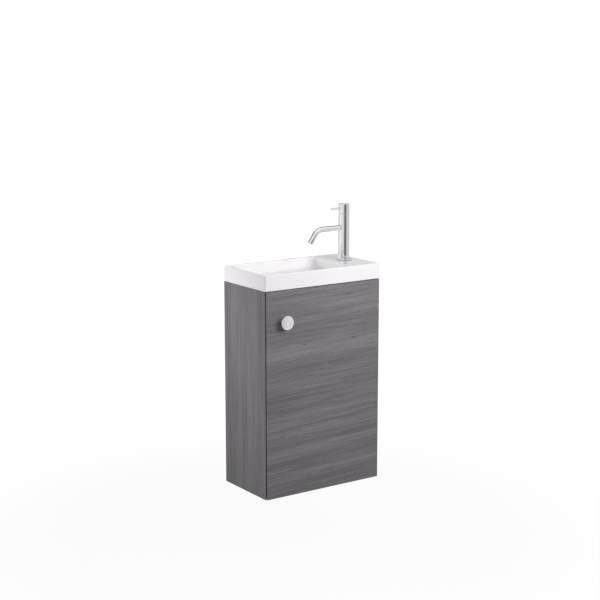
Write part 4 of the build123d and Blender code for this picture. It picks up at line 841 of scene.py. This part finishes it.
def basin_surface():
    """The basin's rings, from the underside round the edges and down into the bowl."""
    left, front, low = (value / MM for value in BASIN_LOW)
    right, back, top = (value / MM for value in BASIN_HIGH)
    edges = [(FOOT_EDGE, OUTER_ROUND, low), (0.0, OUTER_ROUND, low + FOOT_EDGE)]
    edges.append((0.0, OUTER_ROUND, top - OUTER_ROUND - RING_GUARD))
    for step in range(EDGE_STEPS + 1):
        angle = math.radians(90 * step / EDGE_STEPS)
        inset = OUTER_ROUND * (1 - math.cos(angle))
        edges.append((inset, max(OUTER_ROUND - inset, SHARPEST), top - OUTER_ROUND * (1 - math.sin(angle))))
    edges.append((OUTER_ROUND + RING_GUARD, SHARPEST, top))
    rings = [
        field_ring(left + inset, right - inset, front + inset, back - inset, radius, z)
        for inset, radius, z in edges
    ]
    bowl = (left + BOWL_RIM, right - DECK_LENGTH, front + BOWL_RIM, back - BOWL_RIM)
    mouth = field_ring(*bowl, BOWL_CORNERS[0], top)
    side = BOWL_SLOPES["side"]
    field = (bowl[0] + BOWL_SLOPES["left"], bowl[1] - BOWL_SLOPES["right"], bowl[2] + side, bowl[3] - side)
    floor = field_ring(*field, BOWL_CORNERS[1], top - BOWL_DEPTH)
    columns = []
    for edge, foot in zip(mouth, floor):
        run = Vector((foot.x - edge.x, foot.y - edge.y, 0)).normalized()
        lip = arc(edge - run * 3.0, edge, edge.lerp(foot, 0.5), LIP_ROUND, 6, 0.45, 0.9)
        bend = arc(edge.lerp(foot, 0.1), foot, foot + run * 24.0, FOOT_ROUND, 10, 0.45, 0.9)
        slope = [lip[-1].lerp(bend[0], share) for share in (0.06, 0.35, 0.65, 0.94)]
        columns.append([lip[0] - run * 0.5] + lip + slope + bend + [bend[-1] + run * 0.8])
    return rings + [list(ring) for ring in zip(*columns)]


def deck_pocket(low, top):
    """The cutter that hollows the tap deck from below."""
    right, back = BASIN_HIGH.x / MM, BASIN_HIGH.y / MM
    left = right - DECK_LENGTH + POCKET_WALL
    field = (left, right - POCKET_INSET, BASIN_LOW.y / MM + POCKET_INSET, back - POCKET_INSET)
    rings = [field_ring(*field, POCKET_CORNER, z) for z in (low, top - DECK_THICKNESS)]
    bm = bmesh.new()
    skin(bm, rings, MM)
    return closed_object(bm, "cutter")


def basin_piece():
    """The basin with its tap hole, waste hole, waste seat and the pocket under the deck."""
    bm = bmesh.new()
    skin(bm, basin_surface(), MM)
    bmesh.ops.remove_doubles(bm, verts=bm.verts, dist=2e-6)
    piece = closed_object(bm, "basin_piece")
    tap, waste = middle("tap_shank"), middle("waste_tail")
    tap.z = waste.z = 0.0
    low, top = heights("basin")
    seat = heights("waste_upper_gasket")[0]
    tap_hole = plug(tap, UP, TAP_HOLE, low - 5, top + 5)
    waste_hole = plug(waste, UP, WASTE_HOLE, low - 5, top)
    waste_seat = plug(waste, UP, radius_of("waste_grid") + 1.0, seat, top - BOWL_DEPTH + 8.0, 96)
    carve(piece, deck_pocket(low - 5.0, top), tap_hole, waste_hole, waste_seat)
    stand_for(piece, "basin")


basin_piece()


# Sealant: two hollow beads along the side panels
BEAD_STEPS = 48
FACE_STEPS = 6


def sealant():
    """Both beads, each with a concave face that wavers a little."""
    bm = bmesh.new()
    for low, high in islands("basin_sealant"):
        outer, inner = (low.x, high.x) if low.x < 0 else (high.x, low.x)
        rings = []
        for step in range(BEAD_STEPS + 1):
            y = low.y + (high.y - low.y) * step / BEAD_STEPS
            waver = 0.06 * math.sin(step * 1.7) + 0.05 * math.sin(step * 0.61)
            ring = [(outer, y, high.z)]
            for part in range(FACE_STEPS + 1):
                angle = math.radians(90 * part / FACE_STEPS)
                hollow = 1.0 - (0.16 + waver) * math.sin(2 * angle)
                x = outer + (inner - outer) * (1 - math.sin(angle)) * hollow
                z = high.z + (low.z - high.z) * (1 - math.cos(angle)) * hollow
                ring.append((x, y, z))
            rings.append(ring)
        skin(bm, rings)
    piece = closed_object(bm, "sealant_beads")
    smooth(piece.data)
    stand_for(piece, "basin_sealant")


sealant()


# Turned pieces, in millimetres from the height of their own axis
def upright(node):
    """The upright axis through a node's middle."""
    centre = middle(node)
    centre.z = 0.0
    return straight(centre, UP)


def washer(node, bore, edge):
    """A soft ring that fills its node's box, with rounded edges."""
    low, high = heights(node)
    reach = radius_of(node)
    outline = [(bore, low, edge), (reach, low, edge), (reach, high, edge), (bore, high, edge)]
    turned(node, node + "_ring", outline, upright(node), 4, 0.05)


TAP_AXIS = upright("tap_body")
NECK = bore_of("tap_shank")
TAIL_BORE = bore_of("waste_tail")
PIPE_RADIUS = 16.0
PIPE_BORE = 14.6
CUP_SEAL_BORE = 28.0
washer("tap_base_gasket", NECK, 0.3)
washer("tap_washer", NECK, 0.5)
washer("waste_upper_gasket", WASTE_HOLE, 0.4)
washer("waste_lower_gasket", TAIL_BORE, 0.8)
washer("trap_inlet_seal", PIPE_RADIUS, 0.4)
washer("trap_cup_seal", CUP_SEAL_BORE, 0.4)


# Tap: flange, body and head about one axis
GROOVE_OUTER = 16.6
GROOVE_INNER = 16.3
GROOVE_DEPTH = 0.25
WATERWAY = 6.5


def base_flange():
    """The flange on the deck, with a shallow groove round the body."""
    low, high = heights("tap_base_flange")
    reach = radius_of("tap_base_flange")
    floor = high - GROOVE_DEPTH
    outline = [
        (NECK, low, 0), (reach, low, 0.25), (reach, high, 1.4), (GROOVE_OUTER, high, 0.2),
        (GROOVE_INNER, floor, 0), (NECK, floor, 0),
    ]
    turned("tap_base_flange", "base_flange", outline, TAP_AXIS)


def tap_column():
    """The body, with the cartridge's cavity, a waterway and the spout's seat."""
    low, high = heights("tap_body")
    reach = radius_of("tap_body", 1)
    cavity = bore_of("tap_cartridge")
    floor = heights("tap_cartridge")[0]
    neck_top = heights("tap_shank")[1] + FIT
    outline = [
        (NECK, low, 0), (reach - 0.3, low, 0), (reach, low + 0.3, 0.3), (reach, high, 0.45),
        (cavity, high, 0.2), (cavity, floor, 0), (WATERWAY, floor, 0), (WATERWAY, neck_top, 0),
        (NECK, neck_top, 0),
    ]
    body = spin("tap_column", rounded(outline), TAP_AXIS)
    seat = middle("tap_spout")
    seat.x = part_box("tap_spout")[1].x
    seat.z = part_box("tap_spout")[1].z - radius_of("tap_spout", 1) * MM
    carve(body, plug(seat, LEFT, bore_of("tap_spout", 1), -0.1, 12), plug(seat, LEFT, WATERWAY, -8, 1))
    round_normals(body, middle("tap_body"), reach)
    stand_for(body, "tap_body")


def tap_cap():
    """The turning head, with the spindle's well and the holes of the lever and the grub screw."""
    low, high = heights("tap_head")
    reach = radius_of("tap_body", 1)
    spindle = bore_of("tap_spindle")
    well = heights("tap_spindle")[1] + FIT
    outline = [
        (spindle, low, 0), (reach, low, 0.45), (reach, high - 0.15, 1.8), (reach - 5.0, high, 0),
        (0, high, 0), (0, well, 0), (spindle, well, 0),
    ]
    head = spin("tap_cap", rounded(outline), TAP_AXIS)
    lever, grub = middle("tap_lever"), middle("tap_grub_screw")
    lever.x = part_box("tap_lever")[1].x
    lever_hole = plug(lever, LEFT, bore_of("tap_lever", 1), -0.1, 12)
    carve(head, lever_hole, plug(grub, RIGHT, bore_of("tap_grub_screw", 1), -8, 12, 24))
    round_normals(head, middle("tap_head"), reach)
    stand_for(head, "tap_head")


def round_normals(piece, centre, radius):
    """Give the corners that lie on an upright round wall the normals of that wall."""
    mesh = piece.data
    normals = []
    for face in mesh.polygons:
        for corner in face.loop_indices:
            spot = mesh.vertices[mesh.loops[corner].vertex_index].co - centre
            flat = Vector((spot.x, spot.y, 0.0))
            outward = flat.normalized()
            on_wall = abs(flat.length - radius * MM) < 2e-6 and abs(face.normal.z) < 0.05
            if on_wall and face.normal.dot(outward) > 0.9:
                normals.append(outward)
            else:
                normals.append(Vector(mesh.corner_normals[corner].vector))
    mesh.normals_split_custom_set(normals)


base_flange()
tap_column()
tap_cap()


# Spout: a straight stretch, one bend and a straight tail
SPOUT_BEND = 36.0
SPOUT_TURN = math.radians(57.0)
SPOUT_STRAIGHT = 77.0
SPOUT_TAIL = 22.0
SPOUT_WALL = 1.2
SPOUT_RADIUS = radius_of("tap_spout", 1)
SPOUT_START = heights("tap_spout", 0)[1]
SPOUT_Z = heights("tap_spout")[1] - SPOUT_RADIUS
BEND_START = SPOUT_START - (middle("tap_body").x / MM - SPOUT_STRAIGHT)
BEND_LENGTH = SPOUT_BEND * SPOUT_TURN
SPOUT_END = BEND_START + BEND_LENGTH + SPOUT_TAIL


def spout_axis(distance):
    """The spout's centre line at a distance in millimetres from its root, with its two side directions."""
    turn = min(max((distance - BEND_START) / BEND_LENGTH, 0.0), 1.0) * SPOUT_TURN
    beyond = max(distance - BEND_START - BEND_LENGTH, 0.0)
    x = SPOUT_START - min(distance, BEND_START) - SPOUT_BEND * math.sin(turn) - beyond * math.cos(turn)
    z = SPOUT_Z - SPOUT_BEND * (1 - math.cos(turn)) - beyond * math.sin(turn)
    centre = Vector((x * MM, middle("tap_spout").y, z * MM))
    return centre, Vector(REAR), Vector((math.sin(turn), 0, -math.cos(turn)))


def spout():
    """One bent tube with a wall and eased ends."""
    outer, inner = SPOUT_RADIUS, SPOUT_RADIUS - SPOUT_WALL
    stations = [0.4, 15, 30, 45, 60]
    stations += [BEND_START + BEND_LENGTH * step / 24 for step in range(25)]
    stations += [SPOUT_END - SPOUT_TAIL * share for share in (0.6, 0.3, 0.02)]
    outline = [(outer, station) for station in stations] + [(outer - 0.15, SPOUT_END), (inner, SPOUT_END)]
    outline += [(inner, station) for station in reversed(stations)] + [(inner, 0.0), (outer - 0.15, 0.0)]
    stand_for(spin("spout_tube", outline, spout_axis, 64), "tap_spout")


AERATOR_RADIUS = 8.4
AERATOR_BORE = 6.2
AERATOR_LENGTH = 4.0
INSERT_SIZES = {"Cell_Radius": 0.78 * MM, "Depth": 1.4 * MM, "Wall": 0.16 * MM}
INSERT_DROP = 1.8
CELL_PITCH = 1.5


def aerator():
    """The ring at the spout's end, and its fine insert as a piece of its own."""
    end, across, other = spout_axis(SPOUT_END)
    way = across.cross(other)
    if way.z > 0:
        way = -way
    reach, bore, far = AERATOR_RADIUS, AERATOR_BORE, AERATOR_LENGTH
    outline = [
        (bore, 0, 0), (reach, 0, 0.25), (reach, far, 0.6), (bore + 0.5, far, 0.3), (bore, far - 0.5, 0),
    ]
    turned("tap_aerator", "aerator_ring", outline, straight(end, way), 4, 0.06, 72)
    side = way.cross(across).normalized()
    centre = end + way * (INSERT_DROP * MM)
    lattice = []
    for row in range(-4, 5):
        for column in range(-4, 5):
            x = (column + 0.5 * (row % 2)) * CELL_PITCH
            y = row * CELL_PITCH * math.sqrt(0.75)
            if math.hypot(x, y) < bore - 0.6:
                lattice.append(centre + across * (x * MM) + side * (y * MM))
    cells = points_object("aerator_insert", lattice, [way] * len(lattice))
    grow(cells, CELLS, FINISHES["white_plastic"], **INSERT_SIZES)
    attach(cells, BODY_OF["tap_aerator"])


spout()
aerator()


def lever_piece():
    """The pin lever: a turned rod with rounded ends."""
    reach, far = radius_of("tap_lever", 1), radius_of("tap_lever") * 2
    start = middle("tap_lever")
    start.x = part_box("tap_lever")[1].x
    outline = [(0, 0, 0), (reach, 0, 0.2), (reach, far, 0.8), (0, far, 0)]
    turned("tap_lever", "lever_pin", outline, straight(start, LEFT), segments=48)


lever_piece()


# Nuts and threaded tubes
BEVEL_RISE = 0.55
COUNTERSINK = 0.6


def hexagon(height, angle, corner, low, high, bevel):
    """The radius of a hexagonal wall that a turned bevel cuts at both ends."""
    flat = corner * math.cos(math.pi / 6) / math.cos((angle % (math.pi / 3)) - math.pi / 6)
    end = min(height - low, high - height)
    return min(flat, corner - bevel * max(0.0, 1.0 - end / (BEVEL_RISE * bevel)))


def nut(node, bore, bevel):
    """A six-sided nut with turned corners and a countersunk bore."""
    low, high = heights(node)
    corner = radius_of(node)
    rises = [BEVEL_RISE * bevel * step / 5 for step in range(6)]
    levels = [low + rise for rise in rises] + [high - rise for rise in reversed(rises)]
    outline = [(bore + COUNTERSINK, low)] + [(corner, level) for level in levels]
    outline += [(bore + COUNTERSINK, high), (bore, high - COUNTERSINK), (bore, low + COUNTERSINK)]

    def wall(radius, height, angle):
        if radius < corner - 1e-6:
            return radius
        return hexagon(height, angle, corner, low, high, bevel)

    stand_for(spin(node + "_hexagon", outline, upright(node), shape=wall), node)


nut("tap_fixing_nut", NECK, 2.2)
nut("waste_back_nut", TAIL_BORE, 3.6)


def threaded(node, bore, stretches, thread, depth, pitch):
    """A tube in (radius, low, high) stretches; thread is where its helical ridge starts and ends."""
    outline = [(bore, stretches[0][1], 0)]
    for radius, low, high in stretches:
        outline += [(radius, low, 0.2), (radius, high, 0.2)]
    outline.append((bore, stretches[-1][2], 0))
    piece = spin(node + "_core", rounded(outline, 3, 0.05), upright(node))
    place = middle(node)
    place.z = (thread[0] + 0.5 * pitch) * MM
    values = {"Ridge_Radius": (radius_of(node) - depth) * MM, "Ridge_Height": depth * MM, "Pitch": pitch * MM}
    values["Length"] = (thread[1] - thread[0] - pitch) * MM
    stand_for(grow(piece, THREAD, finish_of(node), Place=place, **values), node)


SHANK_LOW, SHANK_HIGH = heights("tap_shank")
SHANK_STEP = SHANK_LOW + 32.0
SHANK_STRETCHES = [(9.6, SHANK_LOW, SHANK_STEP), (10.3, SHANK_STEP, SHANK_HIGH)]
SHANK_PITCH = 1.814
TAIL_LOW, TAIL_HIGH = heights("waste_tail")
TAIL_PITCH = 2.309
threaded("tap_shank", 7.7, SHANK_STRETCHES, (SHANK_LOW, SHANK_STEP), 0.85, SHANK_PITCH)
threaded("waste_tail", 18.7, [(19.9, TAIL_LOW, TAIL_HIGH)], (TAIL_LOW, TAIL_HIGH - 12.0), 1.0, TAIL_PITCH)


# Knob: a shallow dome inside a crisp rim, on a flared stem
DOME_INSET = 1.2
DOME_RISE = 2.3
DOME_STEPS = 14
STEM_NECK = 8.0
SCREW_BORE = 2.05


def knob():
    """The knob's disc and stem, turned about one level axis."""
    start = middle("door_knob")
    start.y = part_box("knob_stem")[1].y
    axis = straight(start, FRONT)
    low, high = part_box("door_knob")
    back, front = (start.y - high.y) / MM, (start.y - low.y) / MM
    reach = radius_of("door_knob")
    rim = front - 2.5
    outline = [
        (0, back, 0), (reach - 3.0, back, 0.4), (reach, back + 1.6, 0.6), (reach, rim, 0.5),
        (reach - 0.7, rim + 0.35, 0.25), (reach - 1.1, rim + 0.1, 0.15),
    ]
    edge = reach - DOME_INSET
    sphere = (edge**2 + DOME_RISE**2) / (2 * DOME_RISE)
    half = math.asin(edge / sphere)
    turns = [half * step / DOME_STEPS for step in range(DOME_STEPS, -1, -1)]
    dome = [(sphere * math.sin(turn), front - sphere * (1 - math.cos(turn))) for turn in turns]
    stand_for(spin("knob_disc", rounded(outline, 4, 0.05) + dome, axis), "door_knob")
    stem = radius_of("knob_stem")
    end = back - 0.02
    flare = [
        (SCREW_BORE, 0, 0), (stem, 0, 0.3), (stem, 1.5, 0.4), (STEM_NECK, 3.2, 1.6), (STEM_NECK, end, 0),
        (SCREW_BORE, end, 0),
    ]
    turned("knob_stem", "knob_neck", flare, axis)


knob()


# Door buffers: soft clear domes
def buffers():
    """Both buffers as one piece of two domes."""
    low, high = islands("door_buffers")[0]
    reach = (high.x - low.x) / 2 / MM
    height = (high.y - low.y) / MM
    outline = [
        (0, 0, 0), (reach, 0, 0), (reach, height * 0.4, 0.4), (reach - 1.6, height, 1.2), (0, height, 0),
    ]
    domes = []
    for low, high in islands("door_buffers"):
        centre = (low + high) / 2
        centre.y = low.y
        domes.append(spin("buffer", rounded(outline), straight(centre, REAR), 48))
    join(domes, "buffer_domes")
    stand_for(domes[0], "door_buffers")


def join(pieces, name):
    """Join plain pieces into the first one."""
    bm = bmesh.new()
    for piece in pieces:
        bm.from_mesh(piece.data)
    for piece in pieces[1:]:
        bpy.data.objects.remove(piece)
    mesh = bpy.data.meshes.new(name)
    bm.to_mesh(mesh)
    bm.free()
    smooth(mesh)
    pieces[0].data = mesh
    pieces[0].name = name


buffers()


# Screws, dowels and pins, each set grown on points taken from its node's solids
def screws(node, way, head_height, shank_radius, recess):
    """A set of screws whose heads stand on the side that way points to."""
    spots = []
    tip = [abs(component) for component in way].index(1)
    boxes = islands(node)
    for low, high in boxes:
        centre = (low + high) / 2
        centre[tip] = (high[tip] if way[tip] > 0 else low[tip]) - way[tip] * head_height * MM
        spots.append(centre)
    size = boxes[-1][1] - boxes[-1][0]
    values = {"Head_Height": head_height * MM, "Shank_Radius": shank_radius * MM, "Recess": recess * MM}
    values["Head_Radius"] = max(size[i] for i in range(3) if i != tip) / 2
    values["Shank_Length"] = size[tip] - head_height * MM
    points = points_object(node + "_set", spots, [way] * len(spots))
    stand_for(grow(points, SCREWS, finish_of(node), **values), node)


screws("hinge_cup_screws", REAR, 1.4, 1.75, 0.9)
screws("hinge_plate_screws", LEFT, 1.4, 1.75, 0.9)
screws("knob_screw", REAR, 2.4, 2.0, 1.0)


def level_set(node, tree, name):
    """A set of level rods grown on points, each pointing away from the cabinet's middle."""
    boxes = islands(node)
    spots = [(low + high) / 2 for low, high in boxes]
    ways = [(-1.0 if spot.x > 0 else 1.0, 0.0, 0.0) for spot in spots]
    size = boxes[0][1] - boxes[0][0]
    points = points_object(name, spots, ways)
    stand_for(grow(points, tree, finish_of(node), Radius=size.y / 2, Length=size.x), node)


level_set("dowels", DOWEL, "fluted_dowels")
level_set("shelf_pins", PIN, "collared_pins")


# Trap: turned mouldings with grip ribs
PIPE_SEAT = PIPE_RADIUS + FIT
SEAL_RADIUS = 19.5
COLLAR_RADIUS = 20.2
CUP_NECK = 27.9
CUP_BORE = 25.0
NUT_RIBS = (24, 1.15, 0.95)
CUP_RIBS = (30, 1.35, 1.1)


def ribbed(node, outline, axis, ribs, span, turn=(0, 0, 0)):
    """A turned moulding with ribs on a span of its axis; ribs are (count, depth inside its edge, radius)."""
    piece = spin(node + "_moulding", rounded(outline), axis)
    low, high = span
    count, depth, radius = ribs
    values = {"Count": count, "Ring_Radius": (radius_of(node) - depth) * MM, "Rib_Radius": radius * MM}
    values.update({"Rib_Length": (high - low) * MM, "Place": axis((low + high) / 2)[0], "Turn": turn})
    stand_for(grow(piece, RIBS, finish_of(node), **values), node)


def nut_outline(shut, open_end, pipe_bore, thread_bore, reach, fillet):
    """A moulded nut's outline; it grips a pipe at the shut end and has a collar at the open one."""
    way = 1.0 if open_end > shut else -1.0
    collar = open_end - 1.6 * way
    floor = shut + 3.0 * way
    return [
        (pipe_bore, shut, 0.3), (reach - 2.4, shut, 1.0), (reach - 1.0, shut + 2.0 * way, 0.8),
        (reach - 1.0, collar, fillet), (reach, collar, 0.3), (reach, open_end, 0.4),
        (thread_bore, open_end, 0.3), (thread_bore, floor, 0), (pipe_bore, floor, 0),
    ]


def inlet_nut():
    """The nut that holds the trap on the waste tail."""
    low, high = heights("trap_inlet_nut")
    outline = nut_outline(low, high, PIPE_SEAT, TAIL_BORE, radius_of("trap_inlet_nut"), 0.4)
    ribbed("trap_inlet_nut", outline, upright("trap_inlet_nut"), NUT_RIBS, (low + 2.6, high - 1.8))


def cup():
    """The cup at the bottom, which screws off for cleaning."""
    low, high = heights("trap_cup")
    reach = radius_of("trap_cup")
    side = reach - 1.2
    rim = heights("trap_cup_seal")[0]
    outline = [
        (0, low, 0), (reach - 10.0, low, 3.0), (reach - 3.6, low + 2.8, 3.0), (side, low + 10.0, 4.0),
        (side, rim - 5.0, 0.4), (reach, rim - 4.4, 0.4), (reach, rim, 0.4), (CUP_NECK, rim, 0),
        (CUP_NECK, high, 0.5), (CUP_BORE, high, 0.5), (CUP_BORE, low + 12.0, 3.0), (16.0, low + 3.0, 2.0),
        (0, low + 3.0, 0),
    ]
    ribbed("trap_cup", outline, upright("trap_cup"), CUP_RIBS, (low + 14.0, rim - 4.6))


def dip_tube():
    """The tube down into the cup, hung by its collar."""
    low, high = heights("trap_dip_tube")
    collar = high - 2.0
    outline = [
        (PIPE_BORE, low, 0.3), (PIPE_RADIUS, low, 0.3), (PIPE_RADIUS, collar, 0.3),
        (COLLAR_RADIUS, collar, 0.4), (COLLAR_RADIUS, high, 0.4), (PIPE_BORE, high, 0.3),
    ]
    turned("trap_dip_tube", "dip_pipe", outline, upright("trap_dip_tube"), 3, 0.05)


def outlet(axis):
    """What stands on the level axis to the wall: nut, pipe, seal and rosette."""
    near, far = heights("trap_outlet_nut", 1)
    outline = nut_outline(far, near, PIPE_SEAT, SEAL_RADIUS + FIT, radius_of("trap_outlet_nut"), 0.3)
    ribbed("trap_outlet_nut", outline, axis, NUT_RIBS, (near + 1.8, far - 2.6), (math.pi / 2, 0, 0))
    near, far = heights("trap_outlet_tube", 1)
    outline = [(PIPE_BORE, near, 0), (PIPE_RADIUS, near, 0.3), (PIPE_RADIUS, far, 0.3), (PIPE_BORE, far, 0)]
    turned("trap_outlet_tube", "outlet_pipe", outline, axis, 3, 0.05)
    near, far = heights("trap_outlet_seal", 1)
    outline = [(PIPE_SEAT, near, 0), (SEAL_RADIUS, near, 0.3), (SEAL_RADIUS, far, 0.3), (PIPE_SEAT, far, 0)]
    turned("trap_outlet_seal", "outlet_ring", outline, axis, 3, 0.05)
    near, far = heights("wall_rosette", 1)
    reach = radius_of("wall_rosette")
    outline = [
        (PIPE_SEAT, near, 0.5), (19.0, near, 2.2), (reach - 3.5, far - 4.0, 3.0), (reach, far - 1.4, 0.8),
        (reach, far, 0.3), (reach - 1.8, far, 0), (reach - 5.0, far - 2.4, 2.0), (18.6, near + 2.0, 1.0),
        (PIPE_SEAT, near + 1.8, 0),
    ]
    turned("wall_rosette", "rosette_cover", outline, axis)


inlet_nut()
cup()
outlet_place = middle("trap_outlet_nut")
outlet_place.y = 0.0
outlet(straight(outlet_place, REAR))
dip_tube()


# The rest stay as they are modelled, with their edges eased by so many millimetres
EASED = {
    "cam_discs": 0.25,
    "cam_bolts": 0.25,
    "hinge_cups": 0.2,
    "hinge_links": 0.3,
    "hinge_arms": 0.3,
    "hinge_plates": 0.35,
    "hinge_cup_pins": 0.2,
    "hinge_arm_pins": 0.2,
    "waste_grid": 0.25,
    "waste_screw": 0.2,
    "trap_body": 0.6,
    "tap_cartridge": 0.3,
    "tap_spindle": 0.25,
    "tap_grub_screw": 0.15,
}
for eased_node, eased_width in EASED.items():
    stand_for(rounded_copy(eased_node, eased_width * MM), eased_node)
for node, shown in NODES.items():
    shown.data.materials.clear()
    shown.data.materials.append(finish_of(node))


# Camera, floor, world, lamps and the cards that only reflections see
WHITE = (1.0, 1.0, 1.0, 1.0)
WORLD_STRENGTH = 0.51
FLOOR_REACH = 30.0
FLOOR_GREY = (0.42, 0.42, 0.42, 1.0)
FLOOR_GLOW = 1.06
FLOOR_WHITENESS = 0.88
FADE_NEAR = 0.6
FADE_FAR = 1.7
LAMPS = {
    "key": {"place": (0.22, -1.1, 0.48), "aim": (0.03, -0.2, -0.03), "size": 0.6, "power": 8.6},
    "rear": {
        "place": (-0.78, 0.56, 0.14), "aim": (-0.2, 0.03, -0.08), "size": 0.4, "power": 1.35, "beam": 74.0,
    },
    "top": {"place": (0.1, -0.5, 1.5), "aim": (0.0, -0.1, 0.08), "size": 1.0, "power": 2.0},
}
CARD_STEP = 6.0
CARD_FOOT = (1.9, FLOOR_LEVEL + 0.005)
CARD_SILL = (1.9, 0.15)
CARD_HEAD = (1.9, 0.75)
CARD_TOP = (1.0, 2.4)
CARDS = [
    (146, 203, CARD_FOOT, CARD_SILL, 0.36),
    (-90, -48, CARD_FOOT, CARD_HEAD, 0.84),
    (-48, -27, CARD_FOOT, CARD_HEAD, 0.70),
    (-26, 17, CARD_FOOT, CARD_HEAD, 0.14),
    (17, 146, CARD_FOOT, CARD_HEAD, 0.68),
    (95, 265, CARD_HEAD, CARD_TOP, 0.24),
]


def set_camera():
    """The camera at the picture's place and heading."""
    data = bpy.data.cameras.new("camera")
    data.lens = CAMERA_LENS
    camera = new_object("camera", data)
    camera.location = CAMERA_PLACE
    camera.rotation_euler = (math.pi / 2 - CAMERA_DIP, 0.0, -CAMERA_HEADING)
    bpy.context.scene.camera = camera


def empty_tree(owner):
    """The emptied node tree of a material or world."""
    owner.use_nodes = True
    owner.node_tree.nodes.clear()
    return owner.node_tree


def seen_white(tree, white, lit, share):
    """Mix a lit surface or sky with white, for the camera, reflections and clear pieces."""
    rays = add(tree, "ShaderNodeLightPath").outputs
    watched = calc(tree, "MAXIMUM", rays["Is Camera Ray"], rays["Is Glossy Ray"])
    watched = calc(tree, "MAXIMUM", watched, rays["Is Transmission Ray"])
    weight = times(tree, watched, share)
    return result(tree, "ShaderNodeMixShader", {0: weight, 1: lit, 2: white})


def set_world():
    """Even light from all round, seen as plain white."""
    world = bpy.data.worlds.new("studio")
    tree = empty_tree(world)
    lit = result(tree, "ShaderNodeBackground", {"Color": WHITE, "Strength": WORLD_STRENGTH})
    white = result(tree, "ShaderNodeBackground", {"Color": WHITE, "Strength": 1.0})
    add(tree, "ShaderNodeOutputWorld", {"Surface": seen_white(tree, white, lit, 1.0)})
    bpy.context.scene.world = world


def stage_mesh(name, points, faces):
    """A mesh that only the picture needs, with the empty tree of its material."""
    mesh = bpy.data.meshes.new(name)
    mesh.from_pydata(points, [], faces)
    mesh.materials.append(bpy.data.materials.new(name))
    piece = new_object(name, mesh)
    return piece, empty_tree(mesh.materials[0])


def set_floor():
    """A wide floor, white at a distance, that keeps the unit's shadow within reach of it."""
    sides = ((-1, -1), (1, -1), (1, 1), (-1, 1))
    corners = [(x * FLOOR_REACH, y * FLOOR_REACH, FLOOR_LEVEL) for x, y in sides]
    tree = stage_mesh("floor", corners, [(0, 1, 2, 3)])[1]
    lit = result(tree, "ShaderNodeBsdfDiffuse", {"Color": FLOOR_GREY})
    white = result(tree, "ShaderNodeEmission", {"Color": WHITE, "Strength": FLOOR_GLOW})
    away = length(tree, stretched(tree, place_of(tree), (1.0, 1.0, 0.0)))
    limits = {"Value": away, "From Min": FADE_NEAR, "From Max": FADE_FAR, "To Min": FLOOR_WHITENESS}
    fade = add(tree, "ShaderNodeMapRange", limits, interpolation_type="SMOOTHSTEP").outputs["Result"]
    add(tree, "ShaderNodeOutputMaterial", {"Surface": seen_white(tree, white, lit, fade)})


def lamp(name, place, aim, size, power, beam=180.0):
    """A square soft lamp that points at aim, with its light within an angle."""
    data = bpy.data.lights.new(name, "AREA")
    data.shape = "SQUARE"
    data.size = size
    data.energy = power
    data.spread = math.radians(beam)
    light = new_object(name, data)
    light.location = place
    light.rotation_euler = (Vector(aim) - Vector(place)).to_track_quat("-Z", "Y").to_euler()
    light.visible_glossy = False
    light.visible_camera = False


def card(name, start, end, foot, head, grey):
    """A curved card between two bearings, that only reflections see; foot and head are (radius, height)."""
    steps = int((end - start) / CARD_STEP)
    points = []
    for step in range(steps + 1):
        bearing = math.radians(start + (end - start) * step / steps)
        for radius, height in (foot, head):
            points.append((radius * math.sin(bearing), -radius * math.cos(bearing), height))
    faces = [(2 * step, 2 * step + 2, 2 * step + 3, 2 * step + 1) for step in range(steps)]
    piece, tree = stage_mesh(name, points, faces)
    glow = result(tree, "ShaderNodeEmission", {"Color": (grey, grey, grey, 1), "Strength": 1.0})
    add(tree, "ShaderNodeOutputMaterial", {"Surface": glow})
    for kind in ("camera", "diffuse", "transmission", "volume_scatter", "shadow"):
        setattr(piece, "visible_" + kind, False)


for number, card_settings in enumerate(CARDS):
    card(f"card_{number}", *card_settings)
set_camera()
set_world()
set_floor()
for lamp_name, lamp_settings in LAMPS.items():
    lamp(lamp_name, **lamp_settings)
bpy.context.scene.view_settings.view_transform = "Standard"
